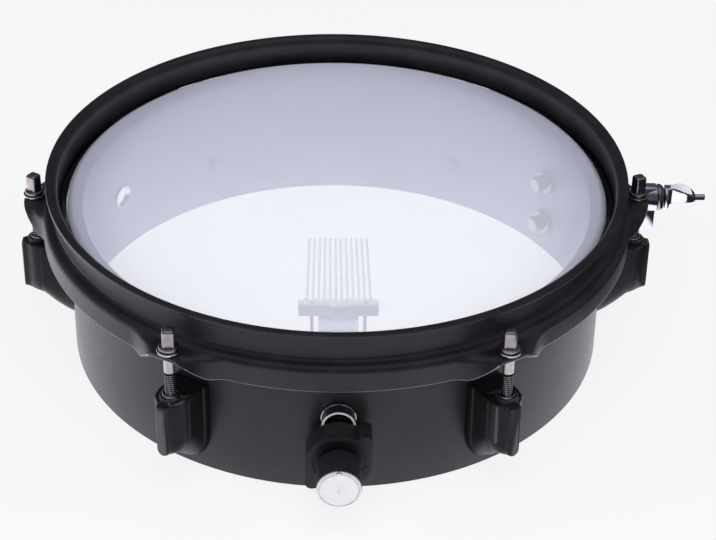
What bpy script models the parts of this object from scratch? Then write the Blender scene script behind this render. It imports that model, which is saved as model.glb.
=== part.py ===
"""A shallow single-headed effect snare drum, ten inches across and three inches deep.

Metres, +Z up. The drum's axis is built on the world's Z axis with the shell's bottom edge
at z = 0, and at the end everything moves sideways together, so that the middle of the
footprint is at the origin. The player's side, with the snare control, faces -Y.
"""

import math

import bmesh
import bpy
from mathutils import Matrix, Vector

# Fits
SEAT = 0.0003           # gap between pieces that touch
RUNNING = 0.0003        # radial gap round a turning or sliding piece

# Shell, a sheet metal cylinder with a rolled-in top edge
SHELL_RADIUS = 0.127
SHELL_HEIGHT = 0.0762
SHELL_WALL = 0.0012
EDGE_ROLL = 0.003       # outer radius of the rolled top edge
EDGE_LIP = 0.003        # length of the lip that runs inwards and down from the roll
SHELL_STEPS = 48

# Head
FILM_THICKNESS = 0.00025
COLLAR_DROP = 0.0062    # from the playing surface down to where the collar enters the channel
FLESH_INNER = 0.1298
FLESH_OUTER = 0.1348
FLESH_TOP = 0.0704
FLESH_HEIGHT = 0.0056
FLESH_WALL = 0.0009
HEAD_STEPS = 48

# Hoop, pressed from one strip: lip, wall, flange, then skirt or ear
HOOP_THICKNESS = 0.002
HOOP_WALL_RADIUS = 0.1330
HOOP_LIP_RADIUS = 0.1364
HOOP_LIP_UNDERSIDE = 0.0861
HOOP_LIP_FILLET = 0.0016
HOOP_FLANGE_Z = 0.0730
HOOP_FLANGE_FILLET = 0.0025
HOOP_SKIRT_RADIUS = 0.1387
HOOP_SKIRT_BEND = 0.0034  # outer radius where the flange turns down
HOOP_SKIRT_LOW = 0.0608
EAR_BEYOND_ROD = 0.0045  # how far an ear reaches past the rod's axis
EAR_Z = 0.0714          # top face of an ear
EAR_STEP = 0.0014       # length of the step down from the flange to the ear
EAR_HALF_ANGLE = 2.3    # degrees, to the start of the ear's shoulder
EAR_SPREAD = 8.0        # degrees over which the ear's reach dies away
EAR_DROP = 5.0          # degrees over which its edge drops to the skirt's
EAR_DROP_POWER = 1.2
EAR_STATIONS = (0.0, 0.22, 0.5, 1.0)  # shares of the spread where the strip has a section
EAR_SIDE_ANGLE = 20.0   # degrees, where the skirt is plain again

# Tension rods on their pitch circle, in degrees from +X
ROD_COUNT = 6
ROD_CIRCLE = 0.1433
ROD_RADIUS = 0.0024
ROD_LOW = 0.0270
ROD_HOLE_RADIUS = 0.0033
COLLAR_RADIUS = 0.0044
COLLAR_HEIGHT = 0.0016
COLLAR_CHAMFER = 0.0005
ROD_TIP_CHAMFER = 0.0008
ROD_STEPS = 12
KEY_SQUARE = 0.0055
KEY_HEIGHT = 0.0084
KEY_CORNER = 0.0010
KEY_TURNS = (22.0, 70.0, 50.0, 56.0, 4.0, 86.0)  # how each key was left standing, in degrees
WASHER_RADIUS = 0.0052
WASHER_BORE = 0.0028
WASHER_THICKNESS = 0.0010

# Lugs, cast wedges that end in a rounded nose round the rod
LUG_LOW = 0.0052        # underside at the shell
LUG_CREASE_LOW = 0.0169  # underside at the crease
LUG_NOSE_LOW = 0.0207   # underside at the nose
LUG_SAG = 0.0010        # how far the underside sags between the shell and the crease
LUG_HIGH = 0.0469
LUG_NOSE_FALL = 0.0008  # how far the top falls from the front to the nose
LUG_PAD_HALF = 0.0088
LUG_PAD_THICKNESS = 0.0034
LUG_PAD_RISE = 0.0160   # height of the pad's rounded lower end
LUG_BODY_HALF = 0.0081
LUG_BODY_RISE = 0.0120
LUG_CREASE_SHARE = 0.645  # where the crease lies between the shell and the front
LUG_CREASE_HALF = 0.0084
LUG_FRONT_HALF = 0.0079
LUG_FRONT_RISE = 0.0090
LUG_FRONT_BEYOND_ROD = 0.0060
LUG_NOSE_DEPTH = 0.0018  # how far the nose stands out from the front
LUG_NOSE_HALF = 0.0031
LUG_NOSE_RISE = 0.0040
LUG_BOSS_RADIUS = 0.0050
LUG_BOSS_HIGH = 0.0487
LUG_BOSS_TAPER = 0.0003
LUG_BORE_DEPTH = 0.0270
LUG_EDGE = 0.0006       # softness of the lug's edges
INSERT_RADIUS = 0.0035
INSERT_STANDING = 0.0007
INSERT_WALL_GAP = 0.0003
LUG_SCREW_Z = 0.0240
LUG_SCREW_RADIUS = 0.0020
LUG_SCREW_LENGTH = 0.0105
LUG_SCREW_HEAD_RADIUS = 0.0040
LUG_SCREW_HEAD = 0.0022

# Vent in the left rear wall
VENT_ANGLE = 150.0
VENT_Z = 0.0316
VENT_RADIUS = 0.0064
VENT_RIM = 0.0085
VENT_RIM_THICKNESS = 0.0009

# Snare control, on an axis that runs out towards the player
CONTROL_Z = 0.0272
BASE_RADIUS = 0.0112
BASE_DEPTH = 0.0060
LEVER_RADIUS = 0.0142
LEVER_DEPTH = 0.0100
EAR_CORNER_HEIGHT = 0.0139
EAR_CORNER_WIDTH = 0.0060
EAR_CORNER_ROUND = 0.0026
LEVER_SHAFT_RADIUS = 0.0038
LEVER_SHAFT_BORE = 0.0024
KNOB_RADIUS = 0.0096
KNOB_LENGTH = 0.0157
KNOB_NECK_RADIUS = 0.0078
KNOB_NECK = 0.0024
KNOB_CAP_THICKNESS = 0.0012
SPINDLE_RADIUS = 0.0020
CAM_OFFSET = 0.0048     # lift of the carriage in a quarter turn of the lever
CAM_PIN_RADIUS = 0.0012
CAM_PIN_LENGTH = 0.0048
SLOT_SLACK = 0.0011     # room over the cam pin, which the pin's arc needs
CAM_WEB_RADIUS = 0.0066
CAM_WEB_THICKNESS = 0.0024
CLIP_RADIUS = 0.0058
CLIP_THICKNESS = 0.0010
BOSS_Z = 0.0388
BOSS_RADIUS = 0.00735
BOSS_DEPTH = 0.0060
BOSS_RIM = 0.0008
BOSS_RECESS = 0.0044
BOSS_SCREW_HEAD_RADIUS = 0.0036
BOSS_SCREW_HEAD = 0.0018
BOSS_SCREW_RADIUS = 0.0019

# Snare carrier inside the shell
BRACKET_PLATE = 0.0024
BRACKET_WIDTH = 0.0350
BRACKET_LOW = 0.0150
SHELF_Z = 0.0515        # top of the shelf
SHELF_THICKNESS = 0.0024
SHELF_RISE = 0.00005    # the shelf stands this much over the plate's top edge
BRACKET_HUB_WALL = 0.0028
BRACKET_POST_WALL = 0.0022
HUB_STANDING = 0.0008   # how far the hub stands out of the plate on the inside
SHELF_BEYOND_BAR = 0.0060  # how far the shelf runs inwards past the bar's middle
CARRIAGE_WIDTH = 0.0174
CARRIAGE_BEHIND_BAR = 0.0090  # how far the carriage runs outwards from the bar's middle
CARRIAGE_BEYOND_BAR = 0.0038  # how far it runs inwards
CARRIAGE_LOW = 0.0155
CARRIAGE_HIGH = 0.0668
BAR_WIDTH = 0.0350
BAR_MIDDLE = 0.0930     # distance of the bar's middle from the drum's axis
BAR_DEPTH = 0.0042
BAR_LOW = 0.0690
BAR_HIGH = 0.0748
BAR_STEM_RADIUS = 0.0030
BAR_STEM_LENGTH = 0.0072
STEM_ROOM = 0.0015      # room under the stem for the bar's travel
PIN_OFFSET = 0.0116
PIN_RADIUS = 0.0008

# Snare wires, each wound from round wire
WIRE_COUNT = 12
WIRE_ROOT_SPAN = 0.0277
WIRE_TIP_SPAN = 0.0259
WIRE_LENGTH = 0.0485
WIRE_COIL_RADIUS = 0.00070
WIRE_RADIUS = 0.00026
WIRE_TURNS = 3
WIRE_POINTS_PER_TURN = 8
WIRE_RISE = 0.0008      # the tips stand this much higher than the roots
WIRE_SINK = 0.0001      # the curls lie this much under the bar's top at their roots
WIRE_LEAST_GAP = 0.0004

# Stand clamp, which grips an upright tube beside the hoop
CLAMP_BASE_ANGLE = 30.0
CLAMP_BOLT_HIGH = 0.0417
CLAMP_BOLT_LOW = 0.0176
CLAMP_BOLT_RADIUS = 0.0024
CLAMP_CUP_RADIUS = 0.0064
CLAMP_CUP_DEPTH = 0.0028
CLAMP_CUP_TAPER = 0.0008
CLAMP_CUP_WALL = 0.0010
CLAMP_NUT_RADIUS = 0.0042
CLAMP_NUT_HEIGHT = 0.0050
CLAMP_PAD_HALF = 0.0120
CLAMP_PAD_LOW = 0.0107
CLAMP_PAD_HIGH = 0.0487
CLAMP_PAD_THICKNESS = 0.0050
CLAMP_PAD_ROUND = 0.0015
CLAMP_BOLT_REACH = 0.0045  # how far the bolt hole runs into the pad
CLAMP_AXIS_Y = 0.0624
CLAMP_AXIS_Z = 0.0325
CLAMP_ARM_LOW = 0.0157
CLAMP_ARM_HIGH = 0.0390
CLAMP_MOUTH = 0.0085    # distance from the tube's middle to the jaws' open ends
TUBE_RADIUS = 0.0127
TUBE_X = 0.1405
JAW_WALL = 0.0050
SCREW_RADIUS = 0.0038
PAD_RADIUS = 0.0060
PAD_THICKNESS = 0.0024
PAD_TRAVEL = 0.0070
PAD_CHAMFER = 0.0004
NOSE_HALF = 0.00315     # half thickness of the arm where the screw goes through
NOSE_END = 0.1645
NOSE_ROOT = 0.1573
NOSE_ROOT_HALF = 0.0055
SCREW_BOSS_RADIUS = 0.0070
SCREW_BOSS_END = 0.1648
SCREW_BOSS_START = 0.1560
RING_RADIUS = 0.0070
RING_HEIGHT = 0.0036

# Paddle of the clamp screw: distance along the screw, half width, then low and high sides
WING_HUB_RADIUS = 0.0064
WING_HUB_LENGTH = 0.0024
WING_STATIONS = ((0.0012, 0.0030, -0.0045, 0.0060), (0.0040, 0.0022, -0.0030, 0.0068),
                 (0.0072, 0.0037, -0.0014, 0.0064), (0.0103, 0.0051, -0.0009, 0.0057),
                 (0.0133, 0.0050, -0.0009, 0.0041), (0.0152, 0.0040, -0.0010, 0.0026),
                 (0.0160, 0.0028, -0.0008, 0.0018))
WING_CORNER = 0.0009
WING_NUB_RADIUS = 0.0015
WING_NUB_END = 0.0212

SMALL_STEPS = 14
SCREW_STEPS = 8
FINE_STEPS = 20
CUT_LENGTH = 0.040      # length of a cutter that runs out of its piece
FINE_EDGE = 0.0004      # broken edges of turned pieces
SOFT_EDGE = 0.0006      # rounded edges of cast pieces
BITE = 0.0010           # how far one feature of a piece runs into the next

PART_COLLECTION = "effect_snare_drum"
CUTTER_COLLECTION = "cutters"


def clear_scene():
    for obj in list(bpy.data.objects):
        bpy.data.objects.remove(obj, do_unlink=True)


def make_collection(name):
    collection = bpy.data.collections.new(name)
    bpy.context.scene.collection.children.link(collection)
    return collection


clear_scene()
PARTS = make_collection(PART_COLLECTION)
CUTTERS = make_collection(CUTTER_COLLECTION)
ROOT = bpy.data.objects.new("drum_axis", None)
PARTS.objects.link(ROOT)


def make_material(name, colour, roughness, metallic):
    material = bpy.data.materials.new(name)
    material.use_nodes = True
    shader = material.node_tree.nodes["Principled BSDF"]
    shader.inputs["Base Color"].default_value = (*colour, 1.0)
    shader.inputs["Roughness"].default_value = roughness
    shader.inputs["Metallic"].default_value = metallic
    return material


BLACK_COAT = make_material("black_powder_coat", (0.022, 0.022, 0.025), 0.48, 0.0)
BLACK_CAST = make_material("black_casting", (0.018, 0.018, 0.021), 0.42, 0.0)
BLACK_PLASTIC = make_material("black_plastic", (0.016, 0.017, 0.019), 0.50, 0.0)
FILM = make_material("hazy_film", (0.72, 0.73, 0.80), 0.35, 0.0)
ALUMINIUM = make_material("channel_aluminium", (0.60, 0.60, 0.62), 0.40, 1.0)
NICKEL = make_material("black_nickel", (0.34, 0.31, 0.31), 0.28, 1.0)
CHROME = make_material("bright_chrome", (0.80, 0.80, 0.82), 0.10, 1.0)
STEEL = make_material("plain_steel", (0.52, 0.52, 0.54), 0.35, 1.0)
ZINC = make_material("pale_zinc", (0.62, 0.63, 0.68), 0.45, 1.0)


def radians(*angles):
    return tuple(math.radians(a) for a in angles)


def add_object(name, mesh, finish):
    obj = bpy.data.objects.new(name, mesh)
    if finish is None:
        CUTTERS.objects.link(obj)
        obj.hide_render = True
        obj.display_type = "WIRE"
    else:
        PARTS.objects.link(obj)
        mesh.materials.clear()
        mesh.materials.append(finish)
        mesh.shade_smooth()
        mesh.set_sharp_from_angle(angle=math.radians(35.0))
    obj.parent = ROOT
    return obj


def from_bmesh(name, bm, finish):
    mesh = bpy.data.meshes.new(name)
    bmesh.ops.recalc_face_normals(bm, faces=bm.faces)
    bm.to_mesh(mesh)
    bm.free()
    return add_object(name, mesh, finish)


def cylinder(name, radius, depth, finish, steps=SMALL_STEPS, radius_top=None):
    """A cylinder on Z from z = 0 up to depth."""
    bm = bmesh.new()
    top = radius if radius_top is None else radius_top
    bmesh.ops.create_cone(bm, cap_ends=True, segments=steps, radius1=radius, radius2=top,
                          depth=depth, matrix=Matrix.Translation((0, 0, depth / 2)))
    return from_bmesh(name, bm, finish)


def block(name, low, high, finish):
    """A box between two corners."""
    size = Vector(high) - Vector(low)
    middle = (Vector(high) + Vector(low)) / 2
    bm = bmesh.new()
    bmesh.ops.create_cube(bm, size=1.0)
    bmesh.ops.scale(bm, vec=size, verts=bm.verts)
    obj = from_bmesh(name, bm, finish)
    obj.location = middle
    return obj


def turned(name, profile, finish, steps=SMALL_STEPS, closed=False):
    """A profile of (radius, height) points, outer side running downwards, turned round Z."""
    bm = bmesh.new()
    verts = [bm.verts.new((r, 0.0, z)) for r, z in profile]
    for first, second in zip(verts, verts[1:]):
        bm.edges.new((first, second))
    if closed:
        bm.edges.new((verts[-1], verts[0]))
    mesh = bpy.data.meshes.new(name)
    bm.to_mesh(mesh)
    bm.free()
    obj = add_object(name, mesh, finish)
    screw = obj.modifiers.new("turn", "SCREW")
    screw.axis = "Z"
    screw.angle = 2 * math.pi
    screw.steps = steps
    screw.render_steps = steps
    screw.use_merge_vertices = True
    screw.merge_threshold = 0.00001
    screw.use_smooth_shade = True
    return obj


def thicken(obj, thickness):
    """Adds a wall behind an open surface, on the side away from its normals."""
    solidify = obj.modifiers.new("wall", "SOLIDIFY")
    solidify.thickness = thickness
    solidify.offset = -1.0
    solidify.use_even_offset = True


def round_edges(obj, width, segments=1, angle=40.0):
    bevel = obj.modifiers.new("rounded_edges", "BEVEL")
    bevel.width = width
    bevel.segments = segments
    bevel.limit_method = "ANGLE"
    bevel.angle_limit = math.radians(angle)
    bevel.use_clamp_overlap = True


def combine(obj, other, operation):
    boolean = obj.modifiers.new(operation.lower(), "BOOLEAN")
    boolean.operation = operation
    boolean.solver = "EXACT"
    boolean.object = other


def cut(obj, *cutters):
    for cutter in cutters:
        combine(obj, cutter, "DIFFERENCE")


def join(obj, *others):
    for other in others:
        combine(obj, other, "UNION")


def mesh_of_curve(name, curve, finish):
    """Turns a curve into a closed mesh object and removes the curve."""
    source = bpy.data.objects.new(name + "_curve", curve)
    bpy.context.scene.collection.objects.link(source)
    evaluated = source.evaluated_get(bpy.context.evaluated_depsgraph_get())
    mesh = bpy.data.meshes.new_from_object(evaluated)
    bpy.data.objects.remove(source, do_unlink=True)
    bm = bmesh.new()
    bm.from_mesh(mesh)
    bmesh.ops.remove_doubles(bm, verts=bm.verts, dist=0.000001)
    bm.to_mesh(mesh)
    bm.free()
    return add_object(name, mesh, finish)


def plate(name, outline, thickness, finish):
    """A flat outline in XY, centred on z = 0."""
    curve = bpy.data.curves.new(name, "CURVE")
    curve.dimensions = "2D"
    curve.fill_mode = "BOTH"
    curve.extrude = thickness / 2
    spline = curve.splines.new("POLY")
    spline.points.add(len(outline) - 1)
    for point, (x, y) in zip(spline.points, outline):
        point.co = (x, y, 0.0, 1.0)
    spline.use_cyclic_u = True
    return mesh_of_curve(name, curve, finish)


def loft(name, sections, finish):
    """Joins closed sections with as many points each, and caps both ends."""
    bm = bmesh.new()
    rings = [[bm.verts.new(point) for point in section] for section in sections]
    count = len(sections[0])
    for lower, upper in zip(rings, rings[1:]):
        for i in range(count):
            j = (i + 1) % count
            bm.faces.new((lower[i], lower[j], upper[j], upper[i]))
    bm.faces.new(rings[0])
    bm.faces.new(rings[-1])
    return from_bmesh(name, bm, finish)


def arc(centre, radius, start, end, count):
    """Points on an arc, angles in degrees, both ends included."""
    points = []
    for i in range(count):
        angle = math.radians(start + (end - start) * i / (count - 1))
        points.append((centre[0] + radius * math.cos(angle), centre[1] + radius * math.sin(angle)))
    return points


def face_outwards(obj, angle, radius, height):
    """Turns an object's Z axis to point away from the drum's axis, at one angle."""
    obj.rotation_euler = radians(90.0, 0.0, angle + 90.0)
    turn = math.radians(angle)
    obj.location = (radius * math.cos(turn), radius * math.sin(turn), height)
    return obj


def on_circle(obj, angle, radius, height=0.0):
    turn = math.radians(angle)
    obj.rotation_euler = radians(0.0, 0.0, angle)
    obj.location = (radius * math.cos(turn), radius * math.sin(turn), height)
    return obj


ROD_ANGLES = [k * 360.0 / ROD_COUNT for k in range(ROD_COUNT)]
PLAYER_SIDE = -90.0
SHELL_INSIDE = SHELL_RADIUS - SHELL_WALL
EAR_RADIUS = ROD_CIRCLE + EAR_BEYOND_ROD
LUG_START = SHELL_RADIUS + SEAT
LUG_FRONT_RADIUS = ROD_CIRCLE + LUG_FRONT_BEYOND_ROD
LUG_NOSE_RADIUS = LUG_FRONT_RADIUS + LUG_NOSE_DEPTH
LUG_CREASE_RADIUS = LUG_START + (LUG_FRONT_RADIUS - LUG_START) * LUG_CREASE_SHARE
SHELF_REACH = BAR_MIDDLE - SHELF_BEYOND_BAR
CARRIAGE_OUTER = BAR_MIDDLE + CARRIAGE_BEHIND_BAR
CARRIAGE_INNER = BAR_MIDDLE - CARRIAGE_BEYOND_BAR


def inside_wall(half_width):
    """How far out a flat face of this half width reaches before it meets the round wall."""
    return math.sqrt(SHELL_INSIDE ** 2 - half_width ** 2) - SEAT


def drill(radius, angle, height):
    """A cutter through the shell wall at one angle and height."""
    cutter = cylinder("drill", radius, CUT_LENGTH, None, ROD_STEPS)
    return face_outwards(cutter, angle, SHELL_RADIUS - CUT_LENGTH / 2, height)


# Shell
def build_shell():
    middle = (SHELL_RADIUS - EDGE_ROLL, SHELL_HEIGHT - EDGE_ROLL)
    roll = arc(middle, EDGE_ROLL, 135.0, 0.0, 4)
    lip = (roll[0][0] - EDGE_LIP * math.cos(math.radians(45.0)),
           roll[0][1] - EDGE_LIP * math.sin(math.radians(45.0)))
    shell = turned("shell", [lip] + roll + [(SHELL_RADIUS, 0.0)], BLACK_COAT, SHELL_STEPS)
    thicken(shell, SHELL_WALL)
    for angle in ROD_ANGLES:
        cut(shell, drill(LUG_SCREW_RADIUS + SEAT, angle, LUG_SCREW_Z))
    cut(shell, drill(VENT_RADIUS, VENT_ANGLE, VENT_Z))
    cut(shell, drill(LEVER_SHAFT_RADIUS + RUNNING, PLAYER_SIDE, CONTROL_Z))
    cut(shell, drill(BOSS_SCREW_RADIUS + SEAT, PLAYER_SIDE, BOSS_Z))
    for height in (CLAMP_BOLT_LOW, CLAMP_BOLT_HIGH):
        cut(shell, drill(CLAMP_BOLT_RADIUS + SEAT, CLAMP_BASE_ANGLE, height))


def build_vent():
    """A flanged eyelet that lines the vent, its rim outside the shell."""
    tube = VENT_RADIUS - SEAT
    rim_low = SEAT
    profile = [(VENT_RIM, rim_low + VENT_RIM_THICKNESS * 0.5), (VENT_RIM, rim_low),
               (tube, rim_low), (tube, -SHELL_WALL - VENT_RIM_THICKNESS),
               (tube - VENT_RIM_THICKNESS, -SHELL_WALL - VENT_RIM_THICKNESS),
               (tube - VENT_RIM_THICKNESS, rim_low + VENT_RIM_THICKNESS),
               (VENT_RIM - VENT_RIM_THICKNESS * 0.5, rim_low + VENT_RIM_THICKNESS)]
    vent = turned("vent_grommet", profile, CHROME, SMALL_STEPS, closed=True)
    face_outwards(vent, VENT_ANGLE, SHELL_RADIUS, VENT_Z)


# Head
def build_head():
    top = SHELL_HEIGHT + SEAT + FILM_THICKNESS
    middle = (SHELL_RADIUS - EDGE_ROLL, SHELL_HEIGHT - EDGE_ROLL)
    bend = arc(middle, EDGE_ROLL + SEAT + FILM_THICKNESS, 90.0, 15.0, 3)
    channel = (FLESH_INNER + FLESH_OUTER) / 2
    collar_end = FLESH_TOP - FLESH_HEIGHT + FLESH_WALL + SEAT
    entry = FLESH_TOP + 2 * SEAT + FILM_THICKNESS
    profile = [(0.0, top)] + bend + [(FLESH_INNER - 2 * SEAT, top - COLLAR_DROP + FLESH_WALL)]
    profile += [(FLESH_INNER + FLESH_WALL + SEAT, entry), (channel, FLESH_TOP - FLESH_WALL)]
    profile += [(channel, collar_end)]
    film = turned("head_film", profile, FILM, HEAD_STEPS)
    thicken(film, FILM_THICKNESS)
    low = FLESH_TOP - FLESH_HEIGHT
    floor = low + FLESH_WALL
    ring = [(FLESH_OUTER, FLESH_TOP), (FLESH_OUTER, low), (FLESH_INNER, low),
            (FLESH_INNER, FLESH_TOP), (FLESH_INNER + FLESH_WALL, FLESH_TOP),
            (FLESH_INNER + FLESH_WALL, floor), (FLESH_OUTER - FLESH_WALL, floor),
            (FLESH_OUTER - FLESH_WALL, FLESH_TOP)]
    turned("flesh_hoop", ring, ALUMINIUM, HEAD_STEPS, closed=True)


# Hoop
def smooth_step(t):
    t = min(1.0, max(0.0, t))
    return t * t * (3.0 - 2.0 * t)


def hoop_section(reach, lift):
    """The outer side of the strip, lip tip to lower edge: skirt where both are 0, ear where 1."""
    lip_centre = (HOOP_WALL_RADIUS + HOOP_LIP_FILLET, HOOP_LIP_UNDERSIDE - HOOP_LIP_FILLET)
    foot_centre = (HOOP_WALL_RADIUS + HOOP_FLANGE_FILLET, HOOP_FLANGE_Z + HOOP_FLANGE_FILLET)
    upper = [(HOOP_LIP_RADIUS, HOOP_LIP_UNDERSIDE)]
    upper += arc(lip_centre, HOOP_LIP_FILLET, 90.0, 180.0, 3)
    upper += arc(foot_centre, HOOP_FLANGE_FILLET, 195.0, 262.0, 2)
    bend_centre = (HOOP_SKIRT_RADIUS - HOOP_SKIRT_BEND, HOOP_FLANGE_Z - HOOP_SKIRT_BEND)
    skirt = arc(bend_centre, HOOP_SKIRT_BEND, 80.0, 0.0, 3) + [(HOOP_SKIRT_RADIUS, HOOP_SKIRT_LOW)]
    flat_from = ROD_CIRCLE - WASHER_RADIUS
    tongue = [(flat_from - EAR_STEP, (HOOP_FLANGE_Z + EAR_Z) / 2), (flat_from, EAR_Z),
              (ROD_CIRCLE, EAR_Z), (EAR_RADIUS, EAR_Z)]
    tail = [(s[0] + (e[0] - s[0]) * reach, s[1] + (e[1] - s[1]) * lift)
            for s, e in zip(skirt, tongue)]
    return upper + tail


def hoop_angles():
    """Angles round the hoop, close together where the skirt turns into an ear."""
    half = [EAR_HALF_ANGLE + EAR_SPREAD * share for share in EAR_STATIONS] + [EAR_SIDE_ANGLE]
    offsets = half + [180.0 / ROD_COUNT] + [-a for a in half]
    angles = {round(rod + offset, 6) % 360.0 for rod in ROD_ANGLES for offset in offsets}
    return sorted(angles)


def build_hoop():
    bm = bmesh.new()
    rings = []
    for angle in hoop_angles():
        from_rod = min(abs((angle - rod + 180.0) % 360.0 - 180.0) for rod in ROD_ANGLES)
        reach = smooth_step(1.0 - (from_rod - EAR_HALF_ANGLE) / EAR_SPREAD)
        left = min(1.0, max(0.0, 1.0 - (from_rod - EAR_HALF_ANGLE) / EAR_DROP))
        lift = left ** EAR_DROP_POWER
        turn = math.radians(angle)
        section = hoop_section(reach, lift)
        ring = [bm.verts.new((r * math.cos(turn), r * math.sin(turn), z)) for r, z in section]
        rings.append(ring)
    for ring, following in zip(rings, rings[1:] + rings[:1]):
        for i in range(len(ring) - 1):
            bm.faces.new((ring[i], ring[i + 1], following[i + 1], following[i]))
    mesh = bpy.data.meshes.new("hoop")
    bm.to_mesh(mesh)
    bm.free()
    hoop = add_object("hoop", mesh, BLACK_COAT)
    thicken(hoop, HOOP_THICKNESS)
    for angle in ROD_ANGLES:
        hole = cylinder("rod_hole", ROD_HOLE_RADIUS, 4 * HOOP_THICKNESS, None, ROD_STEPS)
        on_circle(hole, angle, ROD_CIRCLE, EAR_Z - 3 * HOOP_THICKNESS)
        hole.rotation_euler.z += math.pi / ROD_STEPS
        cut(hoop, hole)


# Rods and lugs
def build_rod(index, angle):
    low = EAR_Z + SEAT
    washer_top = low + WASHER_THICKNESS
    washer = [(WASHER_RADIUS, WASHER_THICKNESS), (WASHER_RADIUS, 0.0), (WASHER_BORE, 0.0),
              (WASHER_BORE, WASHER_THICKNESS)]
    ring = turned(f"rod_washer_{index}", washer, NICKEL, ROD_STEPS, closed=True)
    on_circle(ring, angle, ROD_CIRCLE, low)
    collar_low = washer_top + SEAT
    collar_top = collar_low + COLLAR_HEIGHT
    profile = [(0.0, collar_top), (COLLAR_RADIUS - COLLAR_CHAMFER, collar_top),
               (COLLAR_RADIUS, collar_top - COLLAR_CHAMFER), (COLLAR_RADIUS, collar_low),
               (ROD_RADIUS, collar_low), (ROD_RADIUS, ROD_LOW + ROD_TIP_CHAMFER),
               (ROD_RADIUS - ROD_TIP_CHAMFER, ROD_LOW), (0.0, ROD_LOW)]
    rod = turned(f"tension_rod_{index}", profile, NICKEL, ROD_STEPS)
    key = plate("key_square", key_outline(), KEY_HEIGHT, None)
    key.location.z = collar_top + KEY_HEIGHT / 2 - SEAT
    key.parent = rod
    join(rod, key)
    on_circle(rod, angle, ROD_CIRCLE)
    rod.rotation_euler.z = math.radians(KEY_TURNS[index - 1])


def key_outline():
    """A square with its corners cut."""
    half = KEY_SQUARE / 2
    near = half - KEY_CORNER
    corner = [(half, near), (near, half)]
    turned_corners = [corner, [(-y, x) for x, y in corner], [(-x, -y) for x, y in corner],
                      [(y, -x) for x, y in corner]]
    return [point for pair in turned_corners for point in pair]


def lug_section(radius, half_width, low, high, rise):
    """A shield across the lug: flat top, upright sides and a rounded lower end."""
    top = [(half_width - LUG_EDGE, high), (half_width, high - LUG_EDGE)]
    lower = arc((0.0, 0.0), 1.0, 0.0, -180.0, 6)
    shape = top + [(half_width * x, low + rise * (1.0 + y)) for x, y in lower]
    shape += [(-x, z) for x, z in reversed(top)]
    return [(radius, x, z) for x, z in shape]


def lug_places():
    """Radius, half width and lower rise of each section, from the shell outwards."""
    start = LUG_START
    pad = start + LUG_PAD_THICKNESS
    front = LUG_FRONT_RADIUS
    return [(start, LUG_PAD_HALF, LUG_PAD_RISE), (pad - LUG_EDGE, LUG_PAD_HALF, LUG_PAD_RISE),
            (pad, LUG_BODY_HALF, LUG_BODY_RISE + 2 * LUG_EDGE),
            ((pad + LUG_CREASE_RADIUS) / 2, LUG_BODY_HALF, LUG_BODY_RISE + LUG_EDGE),
            (LUG_CREASE_RADIUS, LUG_CREASE_HALF, LUG_BODY_RISE),
            (front - LUG_EDGE, LUG_FRONT_HALF, LUG_FRONT_RISE),
            (front, LUG_FRONT_HALF - 2 * LUG_EDGE, LUG_FRONT_RISE - LUG_EDGE),
            (LUG_NOSE_RADIUS - LUG_EDGE, LUG_NOSE_HALF, LUG_NOSE_RISE),
            (LUG_NOSE_RADIUS, LUG_NOSE_HALF - LUG_EDGE, LUG_NOSE_RISE / 2)]


def lug_underside(radius):
    """Height of the underside: a slight sag to the crease, then flatter to the nose."""
    if radius < LUG_CREASE_RADIUS:
        share = (radius - LUG_START) / (LUG_CREASE_RADIUS - LUG_START)
        sag = 4.0 * LUG_SAG * share * (1.0 - share)
        return LUG_LOW + (LUG_CREASE_LOW - LUG_LOW) * share - sag
    share = (radius - LUG_CREASE_RADIUS) / (LUG_NOSE_RADIUS - LUG_CREASE_RADIUS)
    return LUG_CREASE_LOW + (LUG_NOSE_LOW - LUG_CREASE_LOW) * share


def build_lug(index, angle):
    sections = []
    for radius, half, rise in lug_places():
        share = max(0.0, radius - LUG_FRONT_RADIUS) / (LUG_NOSE_RADIUS - LUG_FRONT_RADIUS)
        high = LUG_HIGH - LUG_NOSE_FALL * share
        sections.append(lug_section(radius, half, lug_underside(radius), high, rise))
    lug = loft(f"lug_{index}", sections, BLACK_CAST)
    root = LUG_EDGE * 3
    boss = cylinder("lug_boss", LUG_BOSS_RADIUS, LUG_BOSS_HIGH - LUG_HIGH + root, None, ROD_STEPS,
                    radius_top=LUG_BOSS_RADIUS - LUG_BOSS_TAPER)
    boss.location = (ROD_CIRCLE, 0.0, LUG_HIGH - root)
    bore = cylinder("insert_bore", INSERT_RADIUS + INSERT_WALL_GAP, CUT_LENGTH, None, ROD_STEPS)
    bore.location = (ROD_CIRCLE, 0.0, LUG_BOSS_HIGH - LUG_BORE_DEPTH)
    screw_hole = cylinder("lug_screw_hole", LUG_SCREW_RADIUS + SEAT, CUT_LENGTH, None, ROD_STEPS)
    screw_hole.rotation_euler = radians(0.0, 90.0, 0.0)
    screw_hole.location = (SHELL_INSIDE + LUG_SCREW_LENGTH + SEAT - CUT_LENGTH, 0.0, LUG_SCREW_Z)
    for piece in (boss, bore, screw_hole):
        piece.parent = lug
    join(lug, boss)
    cut(lug, bore, screw_hole)
    lug.rotation_euler = radians(0.0, 0.0, angle)


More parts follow.
